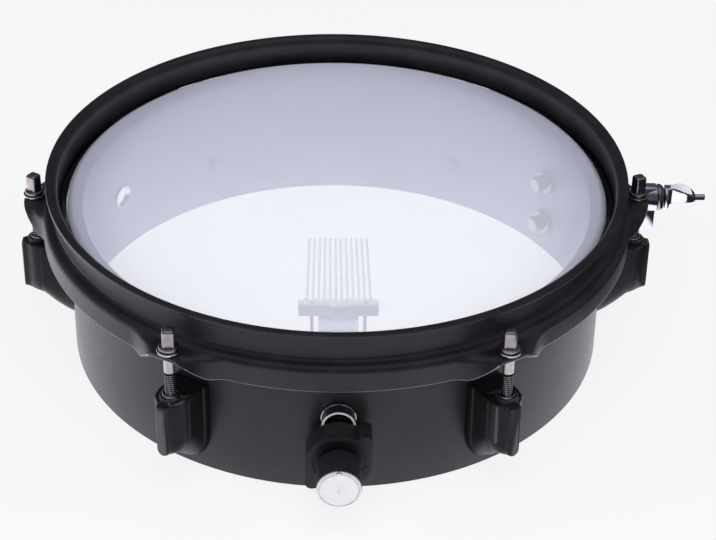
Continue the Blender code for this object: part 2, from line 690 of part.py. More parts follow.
def build_lug_fasteners(index, angle):
    """The threaded insert for the rod, and the screw that holds the lug from inside the shell."""
    foot = LUG_BOSS_HIGH - LUG_BORE_DEPTH + SEAT
    top = LUG_BOSS_HIGH + INSERT_STANDING
    insert = [(INSERT_RADIUS, top), (INSERT_RADIUS, foot), (ROD_RADIUS + RUNNING, foot),
              (ROD_RADIUS + RUNNING, top)]
    ring = turned(f"lug_insert_{index}", insert, CHROME, ROD_STEPS, closed=True)
    on_circle(ring, angle, ROD_CIRCLE)
    screw = [(0.0, LUG_SCREW_LENGTH), (LUG_SCREW_RADIUS, LUG_SCREW_LENGTH),
             (LUG_SCREW_RADIUS, 0.0), (LUG_SCREW_HEAD_RADIUS, 0.0),
             (LUG_SCREW_HEAD_RADIUS * 0.7, -LUG_SCREW_HEAD), (0.0, -LUG_SCREW_HEAD)]
    fastener = turned(f"lug_screw_{index}", screw, BLACK_CAST, SCREW_STEPS)
    face_outwards(fastener, angle, inside_wall(LUG_SCREW_HEAD_RADIUS), LUG_SCREW_Z)


# Snare control
def control_piece(obj, distance, height=CONTROL_Z):
    return face_outwards(obj, PLAYER_SIDE, distance, height)


def build_base():
    base = cylinder("strainer_base", BASE_RADIUS, BASE_DEPTH, BLACK_CAST, FINE_STEPS)
    control_piece(base, SHELL_RADIUS + SEAT)
    notch = cylinder("boss_clearance", BOSS_RADIUS + SEAT, CUT_LENGTH, None, FINE_STEPS)
    control_piece(notch, SHELL_RADIUS - CUT_LENGTH / 2, BOSS_Z)
    bore = cylinder("lever_shaft_clearance", LEVER_SHAFT_RADIUS + RUNNING, CUT_LENGTH, None)
    control_piece(bore, SHELL_RADIUS - CUT_LENGTH / 2)
    cut(base, notch, bore)


def build_boss():
    """A cup over the control, and the screw in it that holds the bracket inside the shell."""
    wall = BOSS_RADIUS - BOSS_RIM
    hole = BOSS_SCREW_RADIUS + SEAT
    floor = BOSS_DEPTH - BOSS_RECESS
    profile = [(BOSS_RADIUS - FINE_EDGE, BOSS_DEPTH), (BOSS_RADIUS, BOSS_DEPTH - FINE_EDGE),
               (BOSS_RADIUS, 0.0), (hole, 0.0), (hole, floor), (wall, floor), (wall, BOSS_DEPTH)]
    boss = turned("strainer_boss", profile, CHROME, FINE_STEPS, closed=True)
    control_piece(boss, SHELL_RADIUS + SEAT, BOSS_Z)
    under = SHELL_RADIUS + SEAT + floor + SEAT
    tip = inside_wall(BRACKET_WIDTH / 2) - BRACKET_PLATE / 2 - under
    screw = [(0.0, BOSS_SCREW_HEAD), (BOSS_SCREW_HEAD_RADIUS * 0.75, BOSS_SCREW_HEAD),
             (BOSS_SCREW_HEAD_RADIUS, BOSS_SCREW_HEAD * 0.4), (BOSS_SCREW_HEAD_RADIUS, 0.0),
             (BOSS_SCREW_RADIUS, 0.0), (BOSS_SCREW_RADIUS, tip), (0.0, tip)]
    fastener = turned("boss_screw", screw, BLACK_CAST, SMALL_STEPS)
    control_piece(fastener, under, BOSS_Z)


def lever_outline():
    """A disc with one square corner at the upper right and one at the lower left."""
    outer = LEVER_RADIUS
    high = EAR_CORNER_HEIGHT
    inner = outer - EAR_CORNER_WIDTH
    turn = EAR_CORNER_ROUND
    half = [(outer, high - turn)] + arc((outer - turn, high - turn), turn, 20.0, 70.0, 3)
    half += [(outer - turn, high), (inner + turn, high)]
    half += arc((inner + turn, high - turn), turn, 110.0, 160.0, 3)
    meet = math.degrees(math.acos(inner / outer))
    half += arc((0.0, 0.0), outer, meet + 4.0, 180.0, 11)
    return half + [(-x, -y) for x, y in half]


def build_lever():
    """The lever with its hollow shaft, and a web with a cam pin at the shaft's inner end."""
    back = SHELL_RADIUS + SEAT + BASE_DEPTH + SEAT
    middle = back + LEVER_DEPTH / 2
    inner_end = CARRIAGE_OUTER + SEAT
    lever = control_piece(plate("throw_off_lever", lever_outline(), LEVER_DEPTH, BLACK_CAST), middle)
    round_edges(lever, SOFT_EDGE, 1, 50.0)
    shaft = cylinder("lever_shaft", LEVER_SHAFT_RADIUS, back + BITE - inner_end, None)
    web = cylinder("cam_web", CAM_WEB_RADIUS, CAM_WEB_THICKNESS, None)
    pin = cylinder("cam_pin", CAM_PIN_RADIUS, CAM_PIN_LENGTH + CAM_WEB_THICKNESS / 2, None, ROD_STEPS)
    bore = cylinder("spindle_bore", LEVER_SHAFT_BORE, 2 * CUT_LENGTH, None)
    places = ((shaft, inner_end, 0.0), (web, inner_end, 0.0),
              (pin, inner_end - CAM_PIN_LENGTH, CAM_OFFSET), (bore, inner_end - CUT_LENGTH / 2, 0.0))
    for piece, distance, offset in places:
        piece.parent = lever
        piece.location = (0.0, offset, distance - middle)
    join(lever, shaft, web, pin)
    cut(lever, bore)
    return back + LEVER_DEPTH


def build_knob(lever_face):
    """The knob with its spindle through the lever's shaft, and the bright cap on its end."""
    base = lever_face + SEAT
    spindle_tip = CARRIAGE_OUTER + 3 * SEAT - base
    profile = [(0.0, KNOB_LENGTH), (KNOB_RADIUS - FINE_EDGE, KNOB_LENGTH),
               (KNOB_RADIUS, KNOB_LENGTH - FINE_EDGE), (KNOB_RADIUS, KNOB_NECK),
               (KNOB_NECK_RADIUS, KNOB_NECK), (KNOB_NECK_RADIUS, 0.0), (SPINDLE_RADIUS, 0.0),
               (SPINDLE_RADIUS, spindle_tip), (0.0, spindle_tip)]
    control_piece(turned("tension_knob", profile, BLACK_PLASTIC, FINE_STEPS), base)
    cap = [(0.0, KNOB_CAP_THICKNESS), (KNOB_RADIUS - FINE_EDGE, KNOB_CAP_THICKNESS),
           (KNOB_RADIUS, KNOB_CAP_THICKNESS - FINE_EDGE), (KNOB_RADIUS, 0.0), (0.0, 0.0)]
    control_piece(turned("knob_cap", cap, CHROME, FINE_STEPS), base + KNOB_LENGTH + SEAT)


def build_bracket():
    """A plate inside the shell with a shelf that guides the carriage."""
    half = BRACKET_WIDTH / 2
    outer = inside_wall(half)
    inner = outer - BRACKET_PLATE
    bracket = block("strainer_bracket", (-half, -outer, BRACKET_LOW), (half, -inner, SHELF_Z), ZINC)
    shelf = block("shelf", (-half, BRACKET_PLATE / 2 - outer, SHELF_Z - SHELF_THICKNESS),
                  (half, -SHELF_REACH, SHELF_Z + SHELF_RISE), None)
    hub_radius = LEVER_SHAFT_RADIUS + BRACKET_HUB_WALL
    hub_end = inside_wall(hub_radius)
    hub = cylinder("bracket_hub", hub_radius, hub_end - inner + HUB_STANDING, None)
    control_piece(hub, inner - HUB_STANDING)
    post_start = inner - HUB_STANDING / 2
    post = cylinder("screw_hub", BOSS_SCREW_RADIUS + BRACKET_POST_WALL, hub_end - post_start, None)
    control_piece(post, post_start, BOSS_Z)
    join(bracket, shelf, hub, post)
    slide = CARRIAGE_WIDTH / 2 + RUNNING
    window = block("carriage_window", (-slide, -CARRIAGE_OUTER - RUNNING, SHELF_Z - CUT_LENGTH / 4),
                   (slide, RUNNING - CARRIAGE_INNER, SHELF_Z + CUT_LENGTH / 4), None)
    bore = cylinder("bracket_shaft_bore", LEVER_SHAFT_RADIUS + RUNNING, CUT_LENGTH, None)
    control_piece(bore, inner - CUT_LENGTH / 2)
    screw_bore = cylinder("bracket_screw_bore", BOSS_SCREW_RADIUS + SEAT, CUT_LENGTH, None)
    control_piece(screw_bore, inner - CUT_LENGTH / 2, BOSS_Z)
    cut(bracket, window, bore, screw_bore)
    for side in (-1.0, 1.0):
        hole = cylinder("pin_socket", PIN_RADIUS + SEAT, CUT_LENGTH, None, ROD_STEPS)
        hole.location = (side * PIN_OFFSET, -BAR_MIDDLE, SHELF_Z - CUT_LENGTH / 2)
        cut(bracket, hole)
    return inner


def build_pins():
    """Two pins that stand in the shelf and guide the wire bar."""
    low = SHELF_Z - SHELF_THICKNESS
    for name, side in (("guide_pin_left", -1.0), ("guide_pin_right", 1.0)):
        pin = cylinder(name, PIN_RADIUS, BAR_HIGH - FINE_EDGE - low, STEEL, ROD_STEPS)
        pin.location = (side * PIN_OFFSET, -BAR_MIDDLE, low)


def build_clip(plate_inner):
    """A ring on the lever's shaft that keeps it in the bracket."""
    ring = [(CLIP_RADIUS, CLIP_THICKNESS), (CLIP_RADIUS, 0.0), (LEVER_SHAFT_RADIUS + SEAT, 0.0),
            (LEVER_SHAFT_RADIUS + SEAT, CLIP_THICKNESS)]
    clip = turned("lever_clip", ring, STEEL, SMALL_STEPS, closed=True)
    control_piece(clip, plate_inner - HUB_STANDING - SEAT - CLIP_THICKNESS)


def build_carriage():
    carriage = block("snare_carriage", (-CARRIAGE_WIDTH / 2, -CARRIAGE_OUTER, CARRIAGE_LOW),
                     (CARRIAGE_WIDTH / 2, -CARRIAGE_INNER, CARRIAGE_HIGH), ZINC)
    round_edges(carriage, SOFT_EDGE)
    pin_z = CONTROL_Z + CAM_OFFSET
    reach = CAM_OFFSET + CAM_PIN_RADIUS + 2 * RUNNING
    slot = block("cam_slot", (-reach, -CARRIAGE_OUTER - BITE, pin_z - CAM_PIN_RADIUS - RUNNING),
                 (reach, CAM_PIN_LENGTH + RUNNING - CARRIAGE_OUTER, pin_z + CAM_PIN_RADIUS + SLOT_SLACK),
                 None)
    stem_hole = cylinder("stem_hole", BAR_STEM_RADIUS + RUNNING, CUT_LENGTH, None)
    stem_hole.location = (0.0, -BAR_MIDDLE, BAR_LOW - BAR_STEM_LENGTH - STEM_ROOM)
    cut(carriage, slot, stem_hole)


def wire_path(index):
    """Points of one wound wire, from inside the bar to its free tip."""
    share = index / (WIRE_COUNT - 1) - 0.5
    root_x = share * WIRE_ROOT_SPAN
    tip_x = share * WIRE_TIP_SPAN
    face = -BAR_MIDDLE + BAR_DEPTH / 2
    coil_z = BAR_HIGH - WIRE_COIL_RADIUS - WIRE_RADIUS - WIRE_SINK
    start = face + 2 * WIRE_RADIUS
    points = [(root_x + WIRE_COIL_RADIUS, face - BAR_DEPTH / 2, coil_z),
              (root_x + WIRE_COIL_RADIUS, start, coil_z)]
    steps = WIRE_TURNS * WIRE_POINTS_PER_TURN
    for k in range(1, steps + 1):
        along = k / steps
        angle = 2 * math.pi * WIRE_TURNS * along
        x = root_x + (tip_x - root_x) * along
        y = start + (WIRE_LENGTH - 2 * WIRE_RADIUS) * along
        z = coil_z + WIRE_RISE * along
        points.append((x + WIRE_COIL_RADIUS * math.cos(angle), y,
                       z + WIRE_COIL_RADIUS * math.sin(angle)))
    last = points[-1]
    return points + [(last[0], last[1] + 2 * WIRE_RADIUS, last[2])]


def least_wire_gaps(paths):
    """The least clear distance between neighbouring wires, and between curls of one wire."""
    between = min(math.dist(a, b) for one, other in zip(paths, paths[1:]) for a in one for b in other)
    half_turn = WIRE_POINTS_PER_TURN // 2
    within = min(math.dist(path[i], path[j]) for path in paths
                 for i in range(len(path)) for j in range(i + half_turn, len(path)))
    return between - 2 * WIRE_RADIUS, within - 2 * WIRE_RADIUS


def build_bar():
    bar = block("wire_bar", (-BAR_WIDTH / 2, -BAR_MIDDLE - BAR_DEPTH / 2, BAR_LOW),
                (BAR_WIDTH / 2, -BAR_MIDDLE + BAR_DEPTH / 2, BAR_HIGH), ZINC)
    stem = cylinder("bar_stem", BAR_STEM_RADIUS, BAR_STEM_LENGTH + BITE, None)
    stem.location = (0.0, -BAR_MIDDLE, BAR_LOW - BAR_STEM_LENGTH)
    curve = bpy.data.curves.new("snare_wires", "CURVE")
    curve.dimensions = "3D"
    curve.bevel_depth = WIRE_RADIUS
    curve.bevel_resolution = 1
    curve.use_fill_caps = True
    paths = [wire_path(index) for index in range(WIRE_COUNT)]
    for points in paths:
        spline = curve.splines.new("POLY")
        spline.points.add(len(points) - 1)
        for point, place in zip(spline.points, points):
            point.co = (*place, 1.0)
    wires = mesh_of_curve("snare_wires", curve, None)
    join(bar, stem, wires)
    for side in (-1.0, 1.0):
        hole = cylinder("guide_hole", PIN_RADIUS + RUNNING, CUT_LENGTH, None, ROD_STEPS)
        hole.location = (side * PIN_OFFSET, -BAR_MIDDLE, BAR_LOW - CUT_LENGTH / 2)
        cut(bar, hole)
    between, within = least_wire_gaps(paths)
    print(f"least gap between wires {between * 1000:.2f} mm, between curls {within * 1000:.2f} mm,"
          f" wanted over {WIRE_LEAST_GAP * 1000:.1f} mm")


# Stand clamp
def clamp_arm_outline():
    """Plan of the arm: a throat for the tube, open away from the player, and the screw's nose."""
    base = (SHELL_RADIUS + SEAT) * math.cos(math.radians(CLAMP_BASE_ANGLE)) - BITE
    throat = TUBE_RADIUS + SEAT
    outer = throat + JAW_WALL
    mouth = CLAMP_AXIS_Y + CLAMP_MOUTH
    round_off = JAW_WALL / 2
    near = arc((TUBE_X, CLAMP_AXIS_Y), outer, -125.0, -35.0, 7)
    outline = [(base, CLAMP_AXIS_Y - CLAMP_PAD_HALF)] + near
    outline += [(NOSE_ROOT, CLAMP_AXIS_Y - NOSE_ROOT_HALF), (NOSE_END, CLAMP_AXIS_Y - NOSE_HALF)]
    outline += [(x, CLAMP_AXIS_Y + NOSE_HALF) for x in (NOSE_END, NOSE_ROOT + round_off)]
    outline += [(TUBE_X + outer, mouth - round_off), (TUBE_X + outer - round_off, mouth)]
    outline += [(TUBE_X + throat, mouth)] + arc((TUBE_X, CLAMP_AXIS_Y), throat, 0.0, -180.0, 11)
    return outline + [(TUBE_X - throat, mouth), (base, mouth)]


def build_clamp_body():
    """A pad bolted to the shell, and an arm with a throat for an upright tube."""
    pad = block("clamp_body", (0.0, -CLAMP_PAD_HALF, CLAMP_PAD_LOW),
                (CLAMP_PAD_THICKNESS, CLAMP_PAD_HALF, CLAMP_PAD_HIGH), CHROME)
    reach = SHELL_RADIUS + SEAT
    pad_z = (CLAMP_PAD_LOW + CLAMP_PAD_HIGH) / 2
    on_circle(pad, CLAMP_BASE_ANGLE, reach + CLAMP_PAD_THICKNESS / 2, pad_z)
    round_edges(pad, CLAMP_PAD_ROUND, 2)
    arm = plate("clamp_arm", clamp_arm_outline(), CLAMP_ARM_HIGH - CLAMP_ARM_LOW, None)
    arm.location = (0.0, 0.0, (CLAMP_ARM_HIGH + CLAMP_ARM_LOW) / 2)
    boss = cylinder("screw_boss", SCREW_BOSS_RADIUS, SCREW_BOSS_END - SCREW_BOSS_START, None)
    join(pad, arm, along_x(boss, SCREW_BOSS_START))
    shell_side = cylinder("shell_clearance", reach, CLAMP_PAD_HIGH + CUT_LENGTH, None, SHELL_STEPS)
    screw_hole = cylinder("clamp_screw_hole", SCREW_RADIUS + RUNNING, CUT_LENGTH, None)
    recess = cylinder("pad_recess", PAD_RADIUS + RUNNING, TUBE_RADIUS + PAD_THICKNESS + 3 * SEAT, None)
    cut(pad, shell_side, along_x(screw_hole, TUBE_X), along_x(recess, TUBE_X))
    for height in (CLAMP_BOLT_LOW, CLAMP_BOLT_HIGH):
        hole = cylinder("clamp_bolt_hole", CLAMP_BOLT_RADIUS + SEAT, CUT_LENGTH, None)
        face_outwards(hole, CLAMP_BASE_ANGLE, SHELL_RADIUS + CLAMP_BOLT_REACH - CUT_LENGTH, height)
        cut(pad, hole)


def build_clamp_bolts():
    """Two bolts through the shell, each with a cup washer under its head."""
    seat = inside_wall(CLAMP_CUP_RADIUS)
    floor = -CLAMP_CUP_DEPTH
    web = floor + CLAMP_CUP_WALL
    hole = CLAMP_BOLT_RADIUS + SEAT
    head = floor - SEAT
    tip = SHELL_RADIUS + SEAT + CLAMP_PAD_THICKNESS - BITE - seat
    for index, height in enumerate((CLAMP_BOLT_LOW, CLAMP_BOLT_HIGH), start=1):
        cup = [(CLAMP_CUP_RADIUS, 0.0), (CLAMP_CUP_RADIUS - CLAMP_CUP_TAPER, floor), (hole, floor),
               (hole, web), (CLAMP_CUP_RADIUS - 2 * CLAMP_CUP_WALL, web),
               (CLAMP_CUP_RADIUS - CLAMP_CUP_WALL, 0.0)]
        washer = turned(f"clamp_cup_{index}", cup, CHROME, SMALL_STEPS, closed=True)
        face_outwards(washer, CLAMP_BASE_ANGLE, seat, height)
        bolt = [(0.0, tip), (CLAMP_BOLT_RADIUS, tip), (CLAMP_BOLT_RADIUS, head),
                (CLAMP_NUT_RADIUS, head), (CLAMP_NUT_RADIUS - FINE_EDGE, head - CLAMP_NUT_HEIGHT),
                (0.0, head - CLAMP_NUT_HEIGHT)]
        fastener = turned(f"clamp_bolt_{index}", bolt, CHROME, ROD_STEPS)
        face_outwards(fastener, CLAMP_BASE_ANGLE, seat, height)


def along_x(obj, x):
    """Turns an object's Z axis onto +X, on the clamp screw's axis."""
    obj.rotation_euler = radians(90.0, 0.0, 90.0)
    obj.location = (x, CLAMP_AXIS_Y, CLAMP_AXIS_Z)
    return obj


def wing_section(place, half_width, low, high):
    """A rectangle with cut corners, across the screw's axis."""
    near = half_width - WING_CORNER
    bottom = low + WING_CORNER
    top = high - WING_CORNER
    corners = [(near, low), (half_width, bottom), (half_width, top), (near, high)]
    return [(x, y, place) for x, y in corners + [(-x, y) for x, y in reversed(corners)]]


def build_clamp_screw():
    """The screw with its paddle, the ring it turns in and the pad at its tip, screwed in."""
    ring = [(RING_RADIUS * 0.80, RING_HEIGHT), (RING_RADIUS * 0.95, RING_HEIGHT * 0.62),
            (RING_RADIUS, RING_HEIGHT * 0.25), (RING_RADIUS * 0.96, 0.0), (SCREW_RADIUS + RUNNING, 0.0),
            (SCREW_RADIUS + RUNNING, RING_HEIGHT)]
    along_x(turned("clamp_ring", ring, NICKEL, SMALL_STEPS, closed=True), SCREW_BOSS_END + SEAT)
    pad_face = TUBE_X + TUBE_RADIUS + SEAT - PAD_TRAVEL
    pad = [(0.0, PAD_THICKNESS), (PAD_RADIUS, PAD_THICKNESS), (PAD_RADIUS, PAD_CHAMFER),
           (PAD_RADIUS - PAD_CHAMFER, 0.0), (0.0, 0.0)]
    along_x(turned("clamp_pad", pad, STEEL, SMALL_STEPS), pad_face)
    hub = SCREW_BOSS_END + SEAT + RING_HEIGHT + SEAT
    screw_low = pad_face + PAD_THICKNESS + SEAT - hub
    profile = [(0.0, WING_HUB_LENGTH), (WING_HUB_RADIUS * 0.80, WING_HUB_LENGTH),
               (WING_HUB_RADIUS, WING_HUB_LENGTH * 0.6), (WING_HUB_RADIUS, 0.0), (SCREW_RADIUS, 0.0),
               (SCREW_RADIUS, screw_low), (0.0, screw_low)]
    screw = along_x(turned("clamp_wing_screw", profile, CHROME, SMALL_STEPS), hub)
    paddle = loft("wing_paddle", [wing_section(*station) for station in WING_STATIONS], None)
    nub = cylinder("wing_nub", WING_NUB_RADIUS, WING_NUB_END - WING_STATIONS[-3][0], None, ROD_STEPS)
    nub.location = (0.0, 0.0, WING_STATIONS[-3][0])
    for piece in (paddle, nub):
        piece.parent = screw
    join(screw, paddle, nub)


def centre_footprint():
    """Moves everything so that the middle of the footprint is over the origin."""
    graph = bpy.context.evaluated_depsgraph_get()
    corners = []
    for obj in PARTS.objects:
        if obj.type == "MESH":
            evaluated = obj.evaluated_get(graph)
            corners += [evaluated.matrix_world @ vert.co for vert in evaluated.data.vertices]
    middle_x = (min(c.x for c in corners) + max(c.x for c in corners)) / 2
    middle_y = (min(c.y for c in corners) + max(c.y for c in corners)) / 2
    ROOT.location = (-middle_x, -middle_y, 0.0)
    print(f"drum axis at x {-middle_x * 1000:.3f} mm, y {-middle_y * 1000:.3f} mm")


def main():
    build_shell()
    build_vent()
    build_head()
    build_hoop()
    for index, angle in enumerate(ROD_ANGLES, start=1):
        build_rod(index, angle)
        build_lug(index, angle)
        build_lug_fasteners(index, angle)
    build_base()
    build_boss()
    lever_face = build_lever()
    build_knob(lever_face)
    plate_inner = build_bracket()
    build_clip(plate_inner)
    build_pins()
    build_carriage()
    build_bar()
    build_clamp_body()
    build_clamp_bolts()
    build_clamp_screw()
    bpy.context.view_layer.update()
    centre_footprint()


main()
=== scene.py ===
"""Looks of the effect snare drum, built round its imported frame.

Every piece is made in drum coordinates, with the drum's axis on Z and the shell's bottom
edge at z = 0, and then moved to where the frame has the drum.
"""

import math

import bmesh
import bpy
from mathutils import Matrix, Vector


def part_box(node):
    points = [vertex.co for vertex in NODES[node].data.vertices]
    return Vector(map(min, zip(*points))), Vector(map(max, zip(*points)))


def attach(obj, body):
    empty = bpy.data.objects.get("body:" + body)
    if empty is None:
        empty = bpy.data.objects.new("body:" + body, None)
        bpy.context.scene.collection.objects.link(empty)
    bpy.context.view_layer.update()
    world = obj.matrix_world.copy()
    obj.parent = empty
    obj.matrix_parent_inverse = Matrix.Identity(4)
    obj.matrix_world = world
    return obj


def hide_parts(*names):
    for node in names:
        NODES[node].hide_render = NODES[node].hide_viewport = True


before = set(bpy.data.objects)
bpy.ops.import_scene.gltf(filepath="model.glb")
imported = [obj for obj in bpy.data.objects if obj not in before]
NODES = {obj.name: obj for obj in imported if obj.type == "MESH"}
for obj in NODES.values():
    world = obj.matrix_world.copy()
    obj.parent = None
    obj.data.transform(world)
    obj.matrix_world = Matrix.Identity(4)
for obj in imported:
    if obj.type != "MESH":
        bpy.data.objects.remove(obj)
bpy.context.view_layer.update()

# The drum's axis in the frame, from the shell's own box
SHELL_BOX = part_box("shell")
AXIS_X = (SHELL_BOX[0][0] + SHELL_BOX[1][0]) / 2
AXIS_Y = (SHELL_BOX[0][1] + SHELL_BOX[1][1]) / 2
DRUM = Matrix.Translation((AXIS_X, AXIS_Y, 0.0))

# Sizes shared by several pieces, in metres
SEAT = 0.0003
SHELL_RADIUS = 0.127
SHELL_HEIGHT = 0.0762
SHELL_WALL = 0.0012
SHELL_INSIDE = SHELL_RADIUS - SHELL_WALL
EDGE_ROLL = 0.003
ROD_ANGLES = [60.0 * k for k in range(6)]
ROD_CIRCLE = 0.1433
ROD_RADIUS = 0.0024
EAR_Z = 0.0714
WASHER_THICKNESS = 0.0010
KEY_TURNS = (22.0, 70.0, 50.0, 56.0, 4.0, 86.0)
PLAYER_SIDE = -90.0
CONTROL_Z = 0.0272
BOSS_Z = 0.0388
CLAMP_ANGLE = 30.0
CLAMP_Y = 0.0624
CLAMP_Z = 0.0325
BOLT_HEIGHTS = (0.0176, 0.0417)

# Procedural materials


class Nodes:
    """A material's node tree with short calls for the nodes used here."""

    def __init__(self, name):
        self.material = bpy.data.materials.new(name)
        self.material.use_nodes = True
        self.tree = self.material.node_tree
        self.shader = self.tree.nodes["Principled BSDF"]
        self.coords = self.tree.nodes.new("ShaderNodeTexCoord")

    def new(self, kind, **values):
        node = self.tree.nodes.new(kind)
        for key, value in values.items():
            setattr(node, key, value)
        return node

    def link(self, source, target):
        self.tree.links.new(source, target)

    def noise(self, scale, detail=3.0, roughness=0.5, stretch=None):
        node = self.new("ShaderNodeTexNoise")
        node.inputs["Scale"].default_value = scale
        node.inputs["Detail"].default_value = detail
        node.inputs["Roughness"].default_value = roughness
        if stretch is None:
            self.link(self.coords.outputs["Object"], node.inputs["Vector"])
        else:
            mapping = self.new("ShaderNodeMapping")
            mapping.inputs["Scale"].default_value = stretch
            self.link(self.coords.outputs["Object"], mapping.inputs["Vector"])
            self.link(mapping.outputs["Vector"], node.inputs["Vector"])
        return node.outputs["Fac"]

    def colour(self, source, low, high, start=0.35, end=0.65):
        ramp = self.new("ShaderNodeValToRGB")
        ramp.color_ramp.elements[0].position = start
        ramp.color_ramp.elements[0].color = (*low, 1.0)
        ramp.color_ramp.elements[1].position = end
        ramp.color_ramp.elements[1].color = (*high, 1.0)
        self.link(source, ramp.inputs["Fac"])
        return ramp.outputs["Color"]

    def span(self, source, low, high, start=0.3, end=0.7):
        node = self.new("ShaderNodeMapRange")
        node.inputs["From Min"].default_value = start
        node.inputs["From Max"].default_value = end
        node.inputs["To Min"].default_value = low
        node.inputs["To Max"].default_value = high
        self.link(source, node.inputs["Value"])
        return node.outputs["Result"]

    def painted_edge_highlight(self, tone, edge_highlight_colour, start=0.515, end=0.58):
        """Lightens the colour along outward edges: a painted highlight where the rounded edges would catch
        light.
        """
        geometry = self.new("ShaderNodeNewGeometry")
        factor = self.span(geometry.outputs["Pointiness"], 0.0, 0.8, start, end)
        mix = self.new("ShaderNodeMix", data_type="RGBA")
        self.link(factor, mix.inputs[0])
        self.link(tone, mix.inputs[6])
        mix.inputs[7].default_value = (*edge_highlight_colour, 1.0)
        return mix.outputs[2]

    def maths(self, operation, first, second):
        node = self.new("ShaderNodeMath", operation=operation)
        for socket, value in zip(node.inputs, (first, second)):
            if isinstance(value, float):
                socket.default_value = value
            else:
                self.link(value, socket)
        return node.outputs["Value"]

    def bump(self, source, distance, strength=1.0, after=None):
        node = self.new("ShaderNodeBump")
        node.inputs["Strength"].default_value = strength
        node.inputs["Distance"].default_value = distance
        self.link(source, node.inputs["Height"])
        if after is not None:
            self.link(after, node.inputs["Normal"])
        return node.outputs["Normal"]

    def set(self, **values):
        for key, value in values.items():
            socket = self.shader.inputs[key.replace("_", " ")]
            if isinstance(value, (float, tuple)):
                socket.default_value = value
            else:
                self.link(value, socket)
        return self.material


def powder_coat(name, low, high):
    m = Nodes(name)
    tone = m.colour(m.noise(60.0, 4.0), low, high)
    grain = m.noise(2600.0, 2.0)
    peel = m.noise(420.0, 3.0)
    fine = m.bump(grain, 0.00002, 0.25)
    normal = m.bump(peel, 0.00004, 0.18, fine)
    rough = m.span(m.noise(900.0, 2.0), 0.36, 0.46)
    return m.set(Base_Color=tone, Roughness=rough, Normal=normal, Specular_IOR_Level=0.5)


def inside_coat():
    """The coat inside the shell, with painted light and shade: pale towards the open end, where the floor's
    light would reach it, and near black under the head.
    """
    m = Nodes("inside_coat")
    split = m.new("ShaderNodeSeparateXYZ")
    m.link(m.coords.outputs["Object"], split.inputs["Vector"])
    grain = m.noise(60.0, 4.0)
    low = m.colour(grain, (0.31, 0.325, 0.46), (0.34, 0.355, 0.50))
    high = m.colour(grain, (0.010, 0.020, 0.14), (0.014, 0.026, 0.16))
    # Painted light and shade: the colour runs from pale at the open bottom to near black under the head.
    depth = m.maths("POWER", m.span(split.outputs["Z"], 1.0, 0.0, 0.0, 0.072), 0.7)
    mix = m.new("ShaderNodeMix", data_type="RGBA")
    m.link(depth, mix.inputs[0])
    m.link(high, mix.inputs[6])
    m.link(low, mix.inputs[7])
    rough = m.span(m.noise(900.0, 2.0), 0.40, 0.50)
    normal = m.bump(m.noise(420.0, 3.0), 0.00004, 0.2)
    return m.set(Base_Color=mix.outputs[2], Roughness=rough, Normal=normal)


def cast_paint():
    m = Nodes("cast_paint")
    tone = m.colour(m.noise(90.0, 4.0), (0.0045, 0.0050, 0.0060), (0.0075, 0.0082, 0.0095))
    # Painted highlight along the outward edges of the cast parts.
    tone = m.painted_edge_highlight(tone, (0.075, 0.075, 0.082))
    normal = m.bump(m.noise(1500.0, 3.0), 0.00003, 0.35)
    rough = m.span(m.noise(300.0, 3.0), 0.38, 0.50)
    return m.set(Base_Color=tone, Roughness=rough, Normal=normal, Specular_IOR_Level=0.22)


def moulded_black():
    m = Nodes("moulded_black")
    tone = m.colour(m.noise(120.0, 3.0), (0.0050, 0.0060, 0.0068), (0.0080, 0.0092, 0.0102))
    normal = m.bump(m.noise(3200.0, 2.0), 0.00002, 0.30)
    rough = m.span(m.noise(500.0, 2.0), 0.44, 0.54)
    return m.set(Base_Color=tone, Roughness=rough, Normal=normal, Specular_IOR_Level=0.4)


def plated(name, low, high, rough_low, rough_high, wear=0.25, metal=1.0):
    """A plated metal with faint tool marks, smudges and small pits."""
    m = Nodes(name)
    tone = m.colour(m.noise(260.0, 5.0), low, high)
    marks = m.noise(700.0, 4.0, stretch=(1.0, 1.0, 9.0))
    pits = m.noise(2400.0, 2.0)
    normal = m.bump(marks, 0.00001, wear, m.bump(pits, 0.00001, wear))
    rough = m.span(m.noise(180.0, 4.0), rough_low, rough_high)
    return m.set(Base_Color=tone, Roughness=rough, Normal=normal, Metallic=metal)


def turned_face_and_painted_sheen():
    """Bright metal with the fine rings that a lathe leaves, round the control's axis; on the boss's front
    rim it is a painted sheen standing in for a reflection.
    """
    m = Nodes("turned_face_and_painted_sheen")
    split = m.new("ShaderNodeSeparateXYZ")
    m.link(m.coords.outputs["Object"], split.inputs["Vector"])
    across = m.maths("SUBTRACT", split.outputs["X"], AXIS_X)
    upward = m.maths("SUBTRACT", split.outputs["Z"], CONTROL_Z)
    square = m.maths("ADD", m.maths("MULTIPLY", across, across), m.maths("MULTIPLY", upward, upward))
    radius = m.maths("SQRT", square, 0.0)
    rings = m.maths("SINE", m.maths("MULTIPLY", radius, 21000.0), 0.0)
    tone = m.colour(m.noise(240.0, 4.0), (0.88, 0.88, 0.87), (0.93, 0.93, 0.92))
    rough = m.span(rings, 0.42, 0.54, -1.0, 1.0)
    return m.set(Base_Color=tone, Roughness=rough, Normal=m.bump(rings, 0.000004, 0.4), Metallic=0.45)


FILM_HAZE_TO = 0.1268
FILM_COLLAR_FROM = 0.1274


